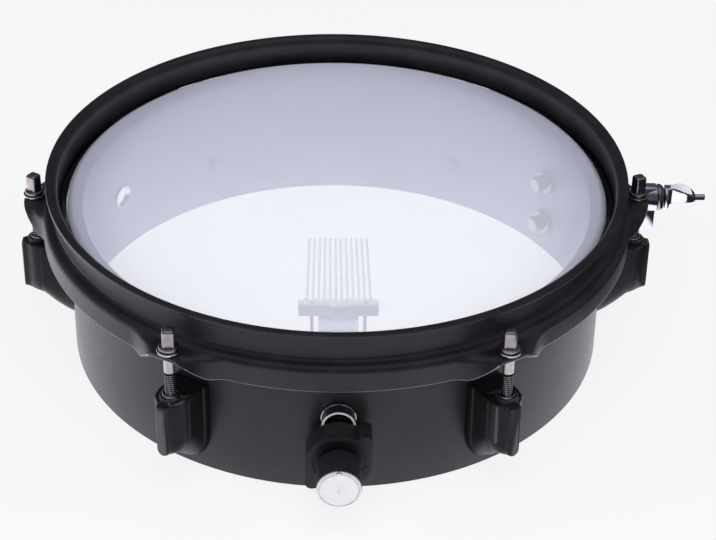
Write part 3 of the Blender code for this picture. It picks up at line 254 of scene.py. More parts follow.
def film_finish():
    """A hazy film; in the collar outside the bearing edge it turns nearly opaque and near black, painted
    shade for the hoop's shadow and the dark gap under it.
    """
    m = Nodes("hazy_film")
    split = m.new("ShaderNodeSeparateXYZ")
    m.link(m.coords.outputs["Object"], split.inputs["Vector"])
    across = m.maths("SUBTRACT", split.outputs["X"], AXIS_X)
    along = m.maths("SUBTRACT", split.outputs["Y"], AXIS_Y)
    square = m.maths("ADD", m.maths("MULTIPLY", across, across), m.maths("MULTIPLY", along, along))
    radius = m.maths("SQRT", square, 0.0)
    cloud = m.span(m.noise(55.0, 4.0), 0.327, 0.333)
    # Painted shade: outside the bearing edge the film is made nearly opaque and near black.
    collar = m.span(radius, 0.0, 1.0, FILM_HAZE_TO, FILM_COLLAR_FROM)
    alpha = m.maths("MAXIMUM", cloud, m.maths("MULTIPLY", collar, 0.92))
    haze = m.colour(m.noise(30.0, 3.0), (0.825, 0.840, 0.920), (0.835, 0.850, 0.930))
    mix = m.new("ShaderNodeMix", data_type="RGBA")
    m.link(collar, mix.inputs[0])
    m.link(haze, mix.inputs[6])
    mix.inputs[7].default_value = (0.012, 0.012, 0.015, 1.0)
    tone = mix.outputs[2]
    normal = m.bump(m.noise(1400.0, 2.0), 0.00001, 0.20)
    m.material.surface_render_method = "BLENDED"
    return m.set(Base_Color=tone, Roughness=0.22, Normal=normal, Alpha=alpha, Specular_IOR_Level=0.5)


COAT = powder_coat("powder_coat", (0.0065, 0.0065, 0.0080), (0.0105, 0.0103, 0.0125))
# Painted highlight: a pale coat for the hoop's lower edge, standing in for the light that the edge catches.
HOOP_EDGE_HIGHLIGHT = powder_coat("hoop_edge_painted_highlight", (0.15, 0.15, 0.16), (0.22, 0.22, 0.23))
INSIDE = inside_coat()
CAST = cast_paint()
PLASTIC = moulded_black()
NICKEL = plated("dark_nickel", (0.36, 0.32, 0.32), (0.48, 0.44, 0.43), 0.24, 0.36)
# Painted shade: a dark copy of the rods' nickel for the thread's grooves.
THREAD_ROOT_SHADE = plated("thread_roots_painted_shade", (0.045, 0.042, 0.042), (0.075, 0.070, 0.070), 0.30, 0.42)
SATIN = plated("satin_chrome", (0.52, 0.52, 0.55), (0.64, 0.64, 0.66), 0.26, 0.36)
BRIGHT_NICKEL = plated("bright_nickel", (0.66, 0.63, 0.62), (0.80, 0.77, 0.76), 0.14, 0.24)
CHROME = plated("chrome_plate", (0.63, 0.64, 0.67), (0.70, 0.71, 0.74), 0.06, 0.14, wear=0.12)
CUP = plated("cup_chrome", (0.84, 0.84, 0.84), (0.92, 0.92, 0.92), 0.08, 0.16, wear=0.12)
DULL_CUP = plated("dull_cup", (0.30, 0.30, 0.32), (0.38, 0.38, 0.41), 0.34, 0.46)
RIM = plated("knurled_rim", (0.66, 0.66, 0.66), (0.76, 0.76, 0.76), 0.30, 0.40, metal=0.6)
# Painted reflection: a paler copy of the rods' nickel for the plain shank, standing in for the light it
# reflects.
LIT_SHANK = plated("shank_nickel_painted_reflection", (0.48, 0.46, 0.42), (0.58, 0.56, 0.51), 0.20, 0.30)
WING = plated("wing_chrome", (0.68, 0.68, 0.70), (0.76, 0.76, 0.78), 0.10, 0.18, wear=0.05)
# Painted light: a pale, half-diffuse copy of the wing's chrome for the paddle's up-facing faces.
WING_LIT_TOP = plated("wing_top_painted_light", (0.76, 0.77, 0.84), (0.84, 0.85, 0.91), 0.28, 0.38, metal=0.25)
STEEL = plated("plain_steel", (0.50, 0.50, 0.52), (0.62, 0.62, 0.64), 0.28, 0.42)
ZINC = plated("pale_zinc", (0.76, 0.77, 0.86), (0.84, 0.85, 0.93), 0.40, 0.50, metal=0.25)
WIRE = plated("snare_wire", (0.62, 0.63, 0.68), (0.74, 0.75, 0.80), 0.24, 0.34, metal=0.6)
ALUMINIUM = plated("channel_aluminium", (0.62, 0.63, 0.65), (0.74, 0.75, 0.77), 0.30, 0.44)
FACE = turned_face_and_painted_sheen()
FILM = film_finish()

# Mesh helpers


def turn_point(radius, degrees, height=0.0):
    angle = math.radians(degrees)
    return Vector((radius * math.cos(angle), radius * math.sin(angle), height))


def outward(degrees, radius, height):
    """Local Z points away from the drum's axis, local Y up."""
    turn = Matrix.Rotation(math.radians(degrees + 90.0), 4, "Z") @ Matrix.Rotation(math.pi / 2, 4, "X")
    return Matrix.Translation(turn_point(radius, degrees, height)) @ turn


def upright(degrees, radius=0.0, height=0.0):
    return Matrix.Translation(turn_point(radius, degrees, height)) @ Matrix.Rotation(
        math.radians(degrees), 4, "Z")


def on_screw(x):
    """Local Z points along the clamp screw, local Y up."""
    turn = Matrix.Rotation(math.pi / 2, 4, "Z") @ Matrix.Rotation(math.pi / 2, 4, "X")
    return Matrix.Translation((x, CLAMP_Y, CLAMP_Z)) @ turn


def make(name, bm, place, finish, sharp=38.0):
    bmesh.ops.recalc_face_normals(bm, faces=bm.faces)
    mesh = bpy.data.meshes.new(name)
    bm.to_mesh(mesh)
    bm.free()
    mesh.transform(DRUM @ place)
    if finish is not None:
        mesh.materials.append(finish)
    mesh.shade_smooth()
    mesh.set_sharp_from_angle(angle=math.radians(sharp))
    obj = bpy.data.objects.new(name, mesh)
    bpy.context.scene.collection.objects.link(obj)
    return obj


def apply_all(obj, sharp=38.0):
    """Applies the object's modifiers to its mesh."""
    bpy.context.view_layer.update()
    graph = bpy.context.evaluated_depsgraph_get()
    mesh = bpy.data.meshes.new_from_object(obj.evaluated_get(graph))
    obj.modifiers.clear()
    obj.data = mesh
    mesh.shade_smooth()
    mesh.set_sharp_from_angle(angle=math.radians(sharp))


def shape(obj, cutters=(), joined=(), edge=0.0, segments=3, angle=40.0, sharp=38.0):
    """Joins and cuts with other objects, rounds the edges, applies it all, removes the tools."""
    for tool, operation in [(t, "UNION") for t in joined] + [(t, "DIFFERENCE") for t in cutters]:
        change = obj.modifiers.new("change", "BOOLEAN")
        change.operation = operation
        change.solver = "EXACT"
        change.object = tool
    if edge:
        rounding = obj.modifiers.new("rounding", "BEVEL")
        rounding.width = edge
        rounding.segments = segments
        rounding.limit_method = "ANGLE"
        rounding.angle_limit = math.radians(angle)
        rounding.harden_normals = False
    apply_all(obj, sharp)
    for tool in list(joined) + list(cutters):
        bpy.data.objects.remove(tool, do_unlink=True)
    return obj


def arc(centre, radius, start, end, count):
    points = []
    for i in range(count):
        angle = math.radians(start + (end - start) * i / (count - 1))
        points.append((centre[0] + radius * math.cos(angle), centre[1] + radius * math.sin(angle)))
    return points


def softened(points, width, closed=False, count=4, least=20.0):
    """Rounds the corners of a line of points in any number of dimensions."""
    result = []
    total = len(points)
    for i, point in enumerate(points):
        here = Vector(point)
        if not closed and i in (0, total - 1):
            result.append(tuple(here))
            continue
        before = Vector(points[i - 1])
        after = Vector(points[(i + 1) % total])
        back = before - here
        ahead = after - here
        if back.length < 1e-9 or ahead.length < 1e-9:
            result.append(tuple(here))
            continue
        bend = 180.0 - math.degrees(back.angle(ahead))
        if bend < least:
            result.append(tuple(here))
            continue
        reach = min(width, 0.45 * back.length, 0.45 * ahead.length)
        first = here + back.normalized() * reach
        last = here + ahead.normalized() * reach
        for k in range(count + 1):
            t = k / count
            result.append(tuple(first * (1 - t) ** 2 + here * 2 * t * (1 - t) + last * t * t))
    return result


def revolve(name, profile, place, finish, steps=72, closed=False, sharp=38.0):
    """Turns a profile of (radius, height) points round local Z."""
    bm = bmesh.new()
    rings = []
    for radius, height in profile:
        if radius < 1e-7:
            rings.append([bm.verts.new((0.0, 0.0, height))])
        else:
            rings.append([bm.verts.new(turn_point(radius, 360.0 * k / steps, height))
                          for k in range(steps)])
    pairs = list(zip(rings, rings[1:]))
    if closed:
        pairs.append((rings[-1], rings[0]))
    for lower, upper in pairs:
        for k in range(steps):
            j = (k + 1) % steps
            corners = [lower[k % len(lower)], lower[j % len(lower)],
                       upper[j % len(upper)], upper[k % len(upper)]]
            unique = []
            for corner in corners:
                if corner not in unique:
                    unique.append(corner)
            if len(unique) > 2:
                bm.faces.new(unique)
    return make(name, bm, place, finish, sharp)


def loft(name, sections, place, finish, sharp=38.0):
    """Joins closed sections with as many points each, and caps both ends."""
    bm = bmesh.new()
    rings = [[bm.verts.new(point) for point in section] for section in sections]
    count = len(sections[0])
    for lower, upper in zip(rings, rings[1:]):
        for k in range(count):
            j = (k + 1) % count
            bm.faces.new((lower[k], lower[j], upper[j], upper[k]))
    bm.faces.new(rings[0])
    bm.faces.new(rings[-1])
    return make(name, bm, place, finish, sharp)


def extruded(name, outline, low, high, place, finish):
    """A flat outline in local XY between two heights."""
    return loft(name, [[(x, y, z) for x, y in outline] for z in (low, high)], place, finish)


def rod_tool(radius, low, high, place, steps=48):
    """A plain round cutter along local Z."""
    return loft("cutter", [[(x, y, z) for x, y in arc((0.0, 0.0), radius, 0.0, 360.0, steps + 1)[:-1]]
                           for z in (low, high)], place, None)


def wired(name, paths, radius, resolution, place, finish):
    """Closed tubes along lines of points."""
    curve = bpy.data.curves.new(name, "CURVE")
    curve.dimensions = "3D"
    curve.bevel_depth = radius
    curve.bevel_resolution = resolution
    curve.use_fill_caps = True
    for points in paths:
        spline = curve.splines.new("POLY")
        spline.points.add(len(points) - 1)
        for point, spot in zip(spline.points, points):
            point.co = (*spot, 1.0)
    source = bpy.data.objects.new(name, curve)
    bpy.context.scene.collection.objects.link(source)
    bpy.context.view_layer.update()
    graph = bpy.context.evaluated_depsgraph_get()
    mesh = bpy.data.meshes.new_from_object(source.evaluated_get(graph))
    bpy.data.objects.remove(source, do_unlink=True)
    bm = bmesh.new()
    bm.from_mesh(mesh)
    bmesh.ops.remove_doubles(bm, verts=bm.verts, dist=0.0000005)
    return make(name, bm, place, finish)


def dress(obj, body, slot, *nodes):
    """Puts a piece on its body and hides the nodes that it stands for; the slot argument is not used."""
    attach(obj, body)
    if nodes:
        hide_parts(*nodes)
    return obj


# Shell


def build_shell():
    middle = (SHELL_RADIUS - EDGE_ROLL, SHELL_HEIGHT - EDGE_ROLL)
    outer = arc(middle, EDGE_ROLL, 135.0, 0.0, 13)
    inner = arc(middle, EDGE_ROLL - SHELL_WALL, 0.0, 135.0, 9)
    slope = math.cos(math.radians(45.0)) * 0.003
    lip_out = (outer[0][0] - slope, outer[0][1] - slope)
    lip_in = (inner[-1][0] - slope, inner[-1][1] - slope)
    edge = 0.00035
    foot = softened([(SHELL_RADIUS, 0.02), (SHELL_RADIUS, 0.0), (SHELL_INSIDE, 0.0),
                     (SHELL_INSIDE, 0.02)], edge, count=3)
    profile = [lip_out] + outer + [(SHELL_RADIUS, 0.045)] + foot + [(SHELL_INSIDE, 0.045)]
    profile += inner + [lip_in]
    shell = revolve("shell_wall", profile, Matrix(), COAT, steps=288, closed=True)
    shell.data.materials.append(INSIDE)
    axis = DRUM.translation
    for face in shell.data.polygons:
        if math.hypot(face.center.x - axis.x, face.center.y - axis.y) < SHELL_INSIDE + 0.0001:
            face.material_index = 1
    holes = [rod_tool(0.0064, -0.01, 0.01, outward(150.0, SHELL_RADIUS, 0.0316))]
    holes += [rod_tool(0.0027, -0.01, 0.01, outward(CLAMP_ANGLE, SHELL_RADIUS, z)) for z in BOLT_HEIGHTS]
    holes += [rod_tool(0.0041, -0.01, 0.01, outward(PLAYER_SIDE, SHELL_RADIUS, CONTROL_Z)),
              rod_tool(0.0022, -0.01, 0.01, outward(PLAYER_SIDE, SHELL_RADIUS, BOSS_Z))]
    holes += [rod_tool(0.0023, -0.01, 0.01, outward(a, SHELL_RADIUS, 0.0240)) for a in ROD_ANGLES]
    dress(shape(shell, cutters=holes), "drum", "black_powder_coat", "shell")


def build_vent():
    tube = 0.0064 - SEAT
    thick = 0.0009
    profile = [(0.0085, SEAT + thick * 0.5), (0.0085, SEAT), (tube, SEAT), (tube, -SHELL_WALL - thick),
               (tube - thick, -SHELL_WALL - thick), (tube - thick, SEAT + thick),
               (0.0085 - thick * 0.5, SEAT + thick)]
    vent = revolve("vent_eyelet", softened(profile, 0.0004, closed=True), outward(150.0, SHELL_RADIUS,
                   0.0316), SATIN, steps=64, closed=True)
    dress(vent, "drum", "bright_chrome", "vent_grommet")


# Head


def build_head():
    thick = 0.00025
    top = SHELL_HEIGHT + SEAT + thick
    middle = (SHELL_RADIUS - EDGE_ROLL, SHELL_HEIGHT - EDGE_ROLL)
    bend = arc(middle, EDGE_ROLL + SEAT + thick, 90.0, 15.0, 12)
    line = [(0.1298 - 0.0006, 0.07145), (0.1298 + 0.0012, 0.07125), (0.1323, 0.0695), (0.1323, 0.0661)]
    outside = bend + softened([bend[-1]] + line, 0.0008)[1:]
    under = arc(middle, EDGE_ROLL + SEAT, 15.0, 90.0, 12)
    back = [(0.1323 - thick, 0.0661), (0.1323 - thick, 0.0695), (0.1298 + 0.0012, 0.07125 - thick * 1.2),
            (0.1298 - 0.0009, 0.07145 - thick)]
    inside = softened(back + [under[0]], 0.0008)[:-1] + under
    radii = [0.120, 0.100, 0.075, 0.050, 0.025]
    profile = [(0.0, top)] + [(r, top) for r in reversed(radii)] + outside
    profile += inside + [(r, top - thick) for r in radii] + [(0.0, top - thick)]
    film = revolve("head_sheet", profile, Matrix(), FILM, steps=288)
    dress(film, "drum", "hazy_film", "head_film")
    low = 0.0648
    wall = 0.0009
    ring = [(0.1348, 0.0704), (0.1348, low), (0.1298, low), (0.1298, 0.0704), (0.1298 + wall, 0.0704),
            (0.1298 + wall, low + wall), (0.1348 - wall, low + wall), (0.1348 - wall, 0.0704)]
    channel = revolve("flesh_ring", softened(ring, 0.0003, closed=True, count=3), Matrix(), ALUMINIUM,
                      steps=240, closed=True)
    dress(channel, "drum", "channel_aluminium", "flesh_hoop")


# Hoop

HOOP_THICKNESS = 0.002
HOOP_WALL = 0.1330
LIP_RADIUS = 0.1364
LIP_UNDER = 0.0861
LIP_FILLET = 0.0016
FLANGE_Z = 0.0730
FLANGE_FILLET = 0.0025
SKIRT_RADIUS = 0.1387
SKIRT_BEND = 0.0034
SKIRT_LOW = 0.0608
EAR_RADIUS = 0.1478
EAR_STEP = 0.0014
EAR_HALF = 2.3
EAR_SPREAD = 8.0
EAR_DROP = 5.0
EAR_DROP_POWER = 1.2


def smooth_step(t):
    t = min(1.0, max(0.0, t))
    return t * t * (3.0 - 2.0 * t)


def along_line(points, u):
    """A point on a line of points at u, counted in points."""
    first = min(int(u), len(points) - 2)
    share = u - first
    start, end = points[first], points[first + 1]
    return (start[0] + (end[0] - start[0]) * share, start[1] + (end[1] - start[1]) * share)


def strip_side(reach, lift):
    """The outer side of the pressed strip, from its lip to its lower edge."""
    lip = (HOOP_WALL + LIP_FILLET, LIP_UNDER - LIP_FILLET)
    foot = (HOOP_WALL + FLANGE_FILLET, FLANGE_Z + FLANGE_FILLET)
    upper = [(LIP_RADIUS, LIP_UNDER)] + arc(lip, LIP_FILLET, 90.0, 180.0, 7)
    upper += [(HOOP_WALL, 0.0820), (HOOP_WALL, 0.0785)] + arc(foot, FLANGE_FILLET, 186.0, 262.0, 7)
    bend = (SKIRT_RADIUS - SKIRT_BEND, FLANGE_Z - SKIRT_BEND)
    flat_from = ROD_CIRCLE - 0.0052
    tongue = [(flat_from - EAR_STEP, (FLANGE_Z + EAR_Z) / 2), (flat_from, EAR_Z),
              (ROD_CIRCLE, EAR_Z), (EAR_RADIUS, EAR_Z)]
    tail = []
    for k in range(22):
        u = 3.0 * k / 21
        if u < 2.0:
            start = arc(bend, SKIRT_BEND, 80.0 - 40.0 * u, 0.0, 2)[0]
        else:
            start = (SKIRT_RADIUS, FLANGE_Z - SKIRT_BEND + (SKIRT_LOW - FLANGE_Z + SKIRT_BEND) * (u - 2.0))
        end = along_line(tongue, u)
        tail.append((start[0] + (end[0] - start[0]) * reach, start[1] + (end[1] - start[1]) * lift))
    return upper + tail


def strip_section(reach, lift):
    """The closed section of the strip, its thickness laid on the inner side."""
    outer = [Vector(p) for p in strip_side(reach, lift)]
    inner = []
    for i, point in enumerate(outer):
        before = outer[max(i - 1, 0)]
        after = outer[min(i + 1, len(outer) - 1)]
        first = (point - before).normalized() if i > 0 else (after - point).normalized()
        second = (after - point).normalized() if i < len(outer) - 1 else first
        normal_a = Vector((first.y, -first.x))
        normal_b = Vector((second.y, -second.x))
        middle = (normal_a + normal_b).normalized()
        inner.append(point + middle * (HOOP_THICKNESS / max(0.6, middle.dot(normal_a))))
    if inner[8].x > outer[8].x:
        inner = [p * 2 - q for p, q in zip(outer, inner)]
    soft = 0.0004
    loop = [tuple(p) for p in outer] + [tuple(p) for p in reversed(inner)]
    count = len(outer)
    result = []
    for i, point in enumerate(loop):
        here = Vector(point)
        if i in (0, count - 1, count, 2 * count - 1):
            before = Vector(loop[i - 1])
            after = Vector(loop[(i + 1) % len(loop)])
            first = here + (before - here).normalized() * min(soft, (before - here).length * 0.4)
            last = here + (after - here).normalized() * min(soft, (after - here).length * 0.4)
            for t in (0.0, 0.33, 0.67, 1.0):
                result.append(first * (1 - t) ** 2 + here * 2 * t * (1 - t) + last * t * t)
        else:
            result.append(here)
    return result


HOOP_STEP = 0.75
SIDE_POINTS = len(strip_side(0.0, 0.0))
SECTION_POINTS = 2 * SIDE_POINTS + 12
SKIRT_END = range(SIDE_POINTS + 2, SIDE_POINTS + 6)
EAR_END = range(SIDE_POINTS + 6, SIDE_POINTS + 10)


def build_hoop():
    bm = bmesh.new()
    rings = []
    for k in range(int(360 / HOOP_STEP)):
        angle = k * HOOP_STEP
        from_rod = min(abs((angle - rod + 180.0) % 360.0 - 180.0) for rod in ROD_ANGLES)
        reach = smooth_step(1.0 - (from_rod - EAR_HALF) / EAR_SPREAD)
        left = min(1.0, max(0.0, 1.0 - (from_rod - EAR_HALF) / EAR_DROP))
        section = strip_section(reach, left ** EAR_DROP_POWER)
        rings.append([bm.verts.new(turn_point(r, angle, z)) for r, z in section])
    for ring, following in zip(rings, rings[1:] + rings[:1]):
        for i in range(len(ring)):
            j = (i + 1) % len(ring)
            bm.faces.new((ring[i], ring[j], following[j], following[i]))
    hoop = make("hoop_strip", bm, Matrix(), COAT, sharp=50.0)
    hoop.data.materials.append(HOOP_EDGE_HIGHLIGHT)
    # The skirt's lower outer corner and the ears' lower inner corner get the pale painted highlight.
    for face in hoop.data.polygons:
        ring, i = divmod(face.index, SECTION_POINTS)
        from_rod = abs((ring * HOOP_STEP + 30.0) % 60.0 - 30.0)
        band = EAR_END if from_rod < EAR_HALF + 1.2 else SKIRT_END
        if i in band:
            face.material_index = 1
    holes = [rod_tool(0.0033, -0.004, 0.004, upright(angle, ROD_CIRCLE, EAR_Z)) for angle in ROD_ANGLES]
    dress(shape(hoop, cutters=holes, sharp=50.0), "drum", "black_powder_coat", "hoop")


# Rods

THREAD_PITCH = 0.00106
THREAD_TOP = 0.0607
THREAD_LOW = 0.0478
KEY_HALF = 0.00275
KEY_ROUND = 0.0011
KEY_HEIGHT = 0.0084


def square_reach(angle, half, corner):
    """Distance from the middle to the edge of a square with rounded corners."""
    x, y = abs(math.cos(angle)), abs(math.sin(angle))
    flat = half / max(x, y)
    px, py = x * flat, y * flat
    inner = half - corner
    if px > inner and py > inner:
        b = (x + y) * inner
        c = 2 * inner * inner - corner * corner
        return b + math.sqrt(max(b * b - c, 0.0))
    return flat


def build_rod(index, angle):
    collar_low = EAR_Z + SEAT + WASHER_THICKNESS + SEAT
    collar_top = collar_low + 0.0016
    key_top = collar_top + KEY_HEIGHT - SEAT
    steps = 64
    round_ring = lambda radius: (lambda a, z: radius)
    square = lambda half, corner: (lambda a, z: square_reach(a, half, corner))
    minor = ROD_RADIUS - 0.00070

    def thread(a, z):
        phase = (z / THREAD_PITCH - a / (2 * math.pi)) % 1.0
        ridge = 1.0 - abs(2.0 * phase - 1.0)
        fade = min(1.0, max(0.0, (THREAD_TOP - z) / 0.0006))
        return minor + (ROD_RADIUS - minor) * min(1.0, 1.35 * ridge) * fade

    rings = [(0.0270, round_ring(0.0016)), (0.0278, round_ring(minor)), (THREAD_LOW, round_ring(minor))]
    count = int((THREAD_TOP - THREAD_LOW) / THREAD_PITCH * 8)
    rings += [(THREAD_LOW + 0.0002 + (THREAD_TOP - THREAD_LOW - 0.0002) * k / count, thread)
              for k in range(count + 1)]
    rings += [(THREAD_TOP + 0.0004, round_ring(ROD_RADIUS)), (collar_low, round_ring(ROD_RADIUS))]
    collar = softened([(ROD_RADIUS, collar_low), (0.0044, collar_low), (0.0044, collar_top - 0.0003),
                       (0.0038, collar_top), (0.0029, collar_top)], 0.0004, count=4)
    rings += [(z, round_ring(r)) for r, z in collar[1:]]
    rings += [(collar_top + 0.0001, square(KEY_HALF, KEY_ROUND)),
              (collar_top + 0.0030, square(KEY_HALF, KEY_ROUND)),
              (key_top - 0.0010, square(KEY_HALF - 0.00006, KEY_ROUND)),
              (key_top - 0.0006, square(KEY_HALF - 0.00012, KEY_ROUND)),
              (key_top - 0.0003, square(KEY_HALF - 0.00032, KEY_ROUND)),
              (key_top - 0.0001, square(KEY_HALF - 0.00062, KEY_ROUND)),
              (key_top, square(KEY_HALF - 0.0011, KEY_ROUND))]
    bm = bmesh.new()
    loops = []
    for z, reach in rings:
        loops.append([bm.verts.new((reach(2 * math.pi * k / steps, z) * math.cos(2 * math.pi * k / steps),
                                    reach(2 * math.pi * k / steps, z) * math.sin(2 * math.pi * k / steps),
                                    z)) for k in range(steps)])
    for lower, upper in zip(loops, loops[1:]):
        for k in range(steps):
            j = (k + 1) % steps
            bm.faces.new((lower[k], lower[j], upper[j], upper[k]))
    bm.faces.new(loops[0])
    bm.faces.new(loops[-1])
    turn = Matrix.Rotation(math.radians(KEY_TURNS[index - 1]), 4, "Z")
    place = Matrix.Translation(turn_point(ROD_CIRCLE, angle)) @ turn
    rod = make(f"rod_{index}_piece", bm, place, NICKEL, sharp=32.0)
    rod.data.materials.append(THREAD_ROOT_SHADE)
    rod.data.materials.append(LIT_SHANK)
    axis = DRUM @ turn_point(ROD_CIRCLE, angle)
    for face in rod.data.polygons:
        centre = face.center
        away = math.hypot(centre.x - axis.x, centre.y - axis.y)
        # The thread's roots get the dark painted-shade copy.
        if centre.z < THREAD_TOP and away < ROD_RADIUS - 0.00020:
            face.material_index = 1
        # The plain shank between the thread and the collar gets the paler painted-reflection copy.
        elif THREAD_TOP < centre.z < collar_low:
            face.material_index = 2
    dress(rod, f"rod_{index}", "black_nickel", f"tension_rod_{index}")
    washer = softened([(0.0052, WASHER_THICKNESS), (0.0052, 0.0), (0.0028, 0.0),
                       (0.0028, WASHER_THICKNESS)], 0.0003, closed=True)
    ring = revolve(f"washer_{index}_piece", washer, upright(angle, ROD_CIRCLE, EAR_Z + SEAT),
                   BRIGHT_NICKEL, steps=64, closed=True)
    dress(ring, "drum", "black_nickel", f"rod_washer_{index}")


# Lugs

LUG_START = SHELL_RADIUS + SEAT
LUG_CREASE = LUG_START + (0.1493 - LUG_START) * 0.645
LUG_NOSE = 0.1511
LUG_TOP = 0.0469


def lug_under(radius):
    if radius < LUG_CREASE:
        share = (radius - LUG_START) / (LUG_CREASE - LUG_START)
        return 0.0052 + (0.0169 - 0.0052) * share - 4.0 * 0.0010 * share * (1.0 - share)
    return 0.0169 + (0.0207 - 0.0169) * (radius - LUG_CREASE) / (LUG_NOSE - LUG_CREASE)


def lug_ring(radius, half, rise, high):
    """A shield across the lug, with rounded shoulders and a rounded lower end."""
    low = lug_under(radius)
    soft = min(0.0009, half * 0.4)
    right = arc((half - soft, high - soft), soft, 90.0, 0.0, 6)
    lower = [(half * x, low + rise * (1.0 + y)) for x, y in arc((0.0, 0.0), 1.0, 0.0, -180.0, 31)]
    left = [(-x, z) for x, z in reversed(right)]
    return [(radius, x, z) for x, z in right + lower + left]


def build_lug(index, angle):
    pad = LUG_START + 0.0034
    stations = [(LUG_START, 0.0086, 0.0158, LUG_TOP), (LUG_START + 0.0003, 0.0088, 0.0160, LUG_TOP),
                (pad - 0.0003, 0.0088, 0.0160, LUG_TOP), (pad, 0.0085, 0.0145, LUG_TOP),
                (pad + 0.0002, 0.0081, 0.0131, LUG_TOP), ((pad + LUG_CREASE) / 2, 0.0081, 0.0126, LUG_TOP),
                (LUG_CREASE - 0.0003, 0.0084, 0.0122, LUG_TOP), (LUG_CREASE, 0.0084, 0.0120, LUG_TOP),
                (LUG_CREASE + 0.0002, 0.0079, 0.0116, LUG_TOP), (0.1442, 0.0077, 0.0110, LUG_TOP),
                (0.1456, 0.0069, 0.0098, LUG_TOP), (0.1468, 0.0056, 0.0080, LUG_TOP - 0.0001),
                (0.1478, 0.0042, 0.0058, LUG_TOP - 0.0002), (0.1486, 0.0034, 0.0042, LUG_TOP - 0.0003),
                (0.1496, 0.0031, 0.0035, LUG_TOP - 0.0005),
                (LUG_NOSE - 0.0004, 0.0030, 0.0031, LUG_TOP - 0.0007),
                (LUG_NOSE, 0.0025, 0.0026, LUG_TOP - 0.0011)]
    path = softened(stations, 0.0007, count=4, least=8.0)
    sections = [lug_ring(*station) for station in path]
    lug = loft(f"lug_{index}_piece", sections, upright(angle), CAST, sharp=30.0)
    boss = revolve("boss", softened([(0.0, -0.002), (0.0051, -0.002), (0.00475, 0.0018), (0.0, 0.0018)],
                                    0.0005), upright(angle, ROD_CIRCLE, LUG_TOP), None, steps=64)
    bore = rod_tool(0.0038, 0.0222, 0.06, upright(angle, ROD_CIRCLE))
    shape(lug, joined=[boss], cutters=[bore], edge=0.00025, segments=3, angle=34.0, sharp=30.0)
    dress(lug, "drum", "black_casting", f"lug_{index}")
    foot = 0.0220
    top = 0.0487 + 0.0007
    profile = softened([(0.0035, top), (0.0035, foot), (ROD_RADIUS + SEAT, foot),
                        (ROD_RADIUS + SEAT, top)], 0.0003, closed=True)
    ring = revolve(f"insert_{index}_piece", profile, upright(angle, ROD_CIRCLE), CHROME, steps=48,
                   closed=True)
    dress(ring, "drum", "bright_chrome", f"lug_insert_{index}")


# Control

BASE_DEPTH = 0.0060
LEVER_DEPTH = 0.0100
LEVER_BACK = SHELL_RADIUS + SEAT + BASE_DEPTH + SEAT
LEVER_FACE = LEVER_BACK + LEVER_DEPTH
KNOB_LENGTH = 0.0157
KNOB_RADIUS = 0.0096


def build_base():
    profile = softened([(0.0, 0.0), (0.0112, 0.0), (0.0112, BASE_DEPTH), (0.0, BASE_DEPTH)], 0.0003)
    base = revolve("base_spacer", profile, outward(PLAYER_SIDE, SHELL_RADIUS + SEAT, CONTROL_Z), CAST,
                   steps=96)
    tools = [rod_tool(0.00795, -0.02, 0.02, outward(PLAYER_SIDE, SHELL_RADIUS, BOSS_Z), 64),
             rod_tool(0.0041, -0.02, 0.02, outward(PLAYER_SIDE, SHELL_RADIUS, CONTROL_Z))]
    dress(shape(base, cutters=tools), "drum", "black_casting", "strainer_base")


def build_boss():
    profile = [(0.00735, 0.0060), (0.00735, 0.0009), (0.00765, 0.0006), (0.00765, 0.0), (0.0022, 0.0),
               (0.0022, 0.0016), (0.0063, 0.0016), (0.0063, 0.0060)]
    boss = revolve("boss_cup", softened(profile, 0.00014, closed=True),
                   outward(PLAYER_SIDE, SHELL_RADIUS + SEAT, BOSS_Z), CUP, steps=96, closed=True)
    rim_y = AXIS_Y - SHELL_RADIUS - SEAT - 0.0055
    boss.data.materials.append(FACE)
    # Painted highlight: the boss's outward-facing rim faces get the bright face material in place of the
    # reflection they would show.
    for facet in boss.data.polygons:
        facet.material_index = 1 if facet.normal.y < -0.7 and facet.center.y < rim_y else 0
    dress(boss, "drum", "bright_chrome", "strainer_boss")
    under = SHELL_RADIUS + SEAT + 0.0016 + SEAT
    head = softened([(0.0, 0.0), (0.0036, 0.0), (0.0036, 0.0008), (0.0029, 0.0017), (0.0, 0.0018)],
                    0.0004)
    place = outward(PLAYER_SIDE, under, BOSS_Z)
    screw = revolve("boss_screw_head", head, place, CAST, steps=64)
    turn = place @ Matrix.Rotation(math.radians(24.0), 4, "Z")
    tools = []
    for quarter in (0.0, 90.0):
        bar = [(-0.0021, -0.00035), (0.0021, -0.00035), (0.0021, 0.00035), (-0.0021, 0.00035)]
        tools.append(extruded("slot", bar, 0.0007, 0.004,
                              turn @ Matrix.Rotation(math.radians(quarter), 4, "Z"), None))
    dress(shape(screw, cutters=tools, edge=0.00008, segments=1), "drum", "black_casting", "boss_screw")


def lever_outline():
    """A disc with a square corner at the upper right and one at the lower left."""
    outer, high, inner, turn = 0.0142, 0.0139, 0.0082, 0.0026
    half = [(outer, high - turn)] + arc((outer - turn, high - turn), turn, 8.0, 82.0, 9)
    half += [(outer - turn, high), (inner + turn, high)]
    half += arc((inner + turn, high - turn), turn, 98.0, 160.0, 7)
    meet = math.degrees(math.acos(inner / outer))
    half += arc((0.0, 0.0), outer, meet + 4.0, 180.0, 44)
    return half + [(-x, -y) for x, y in half]


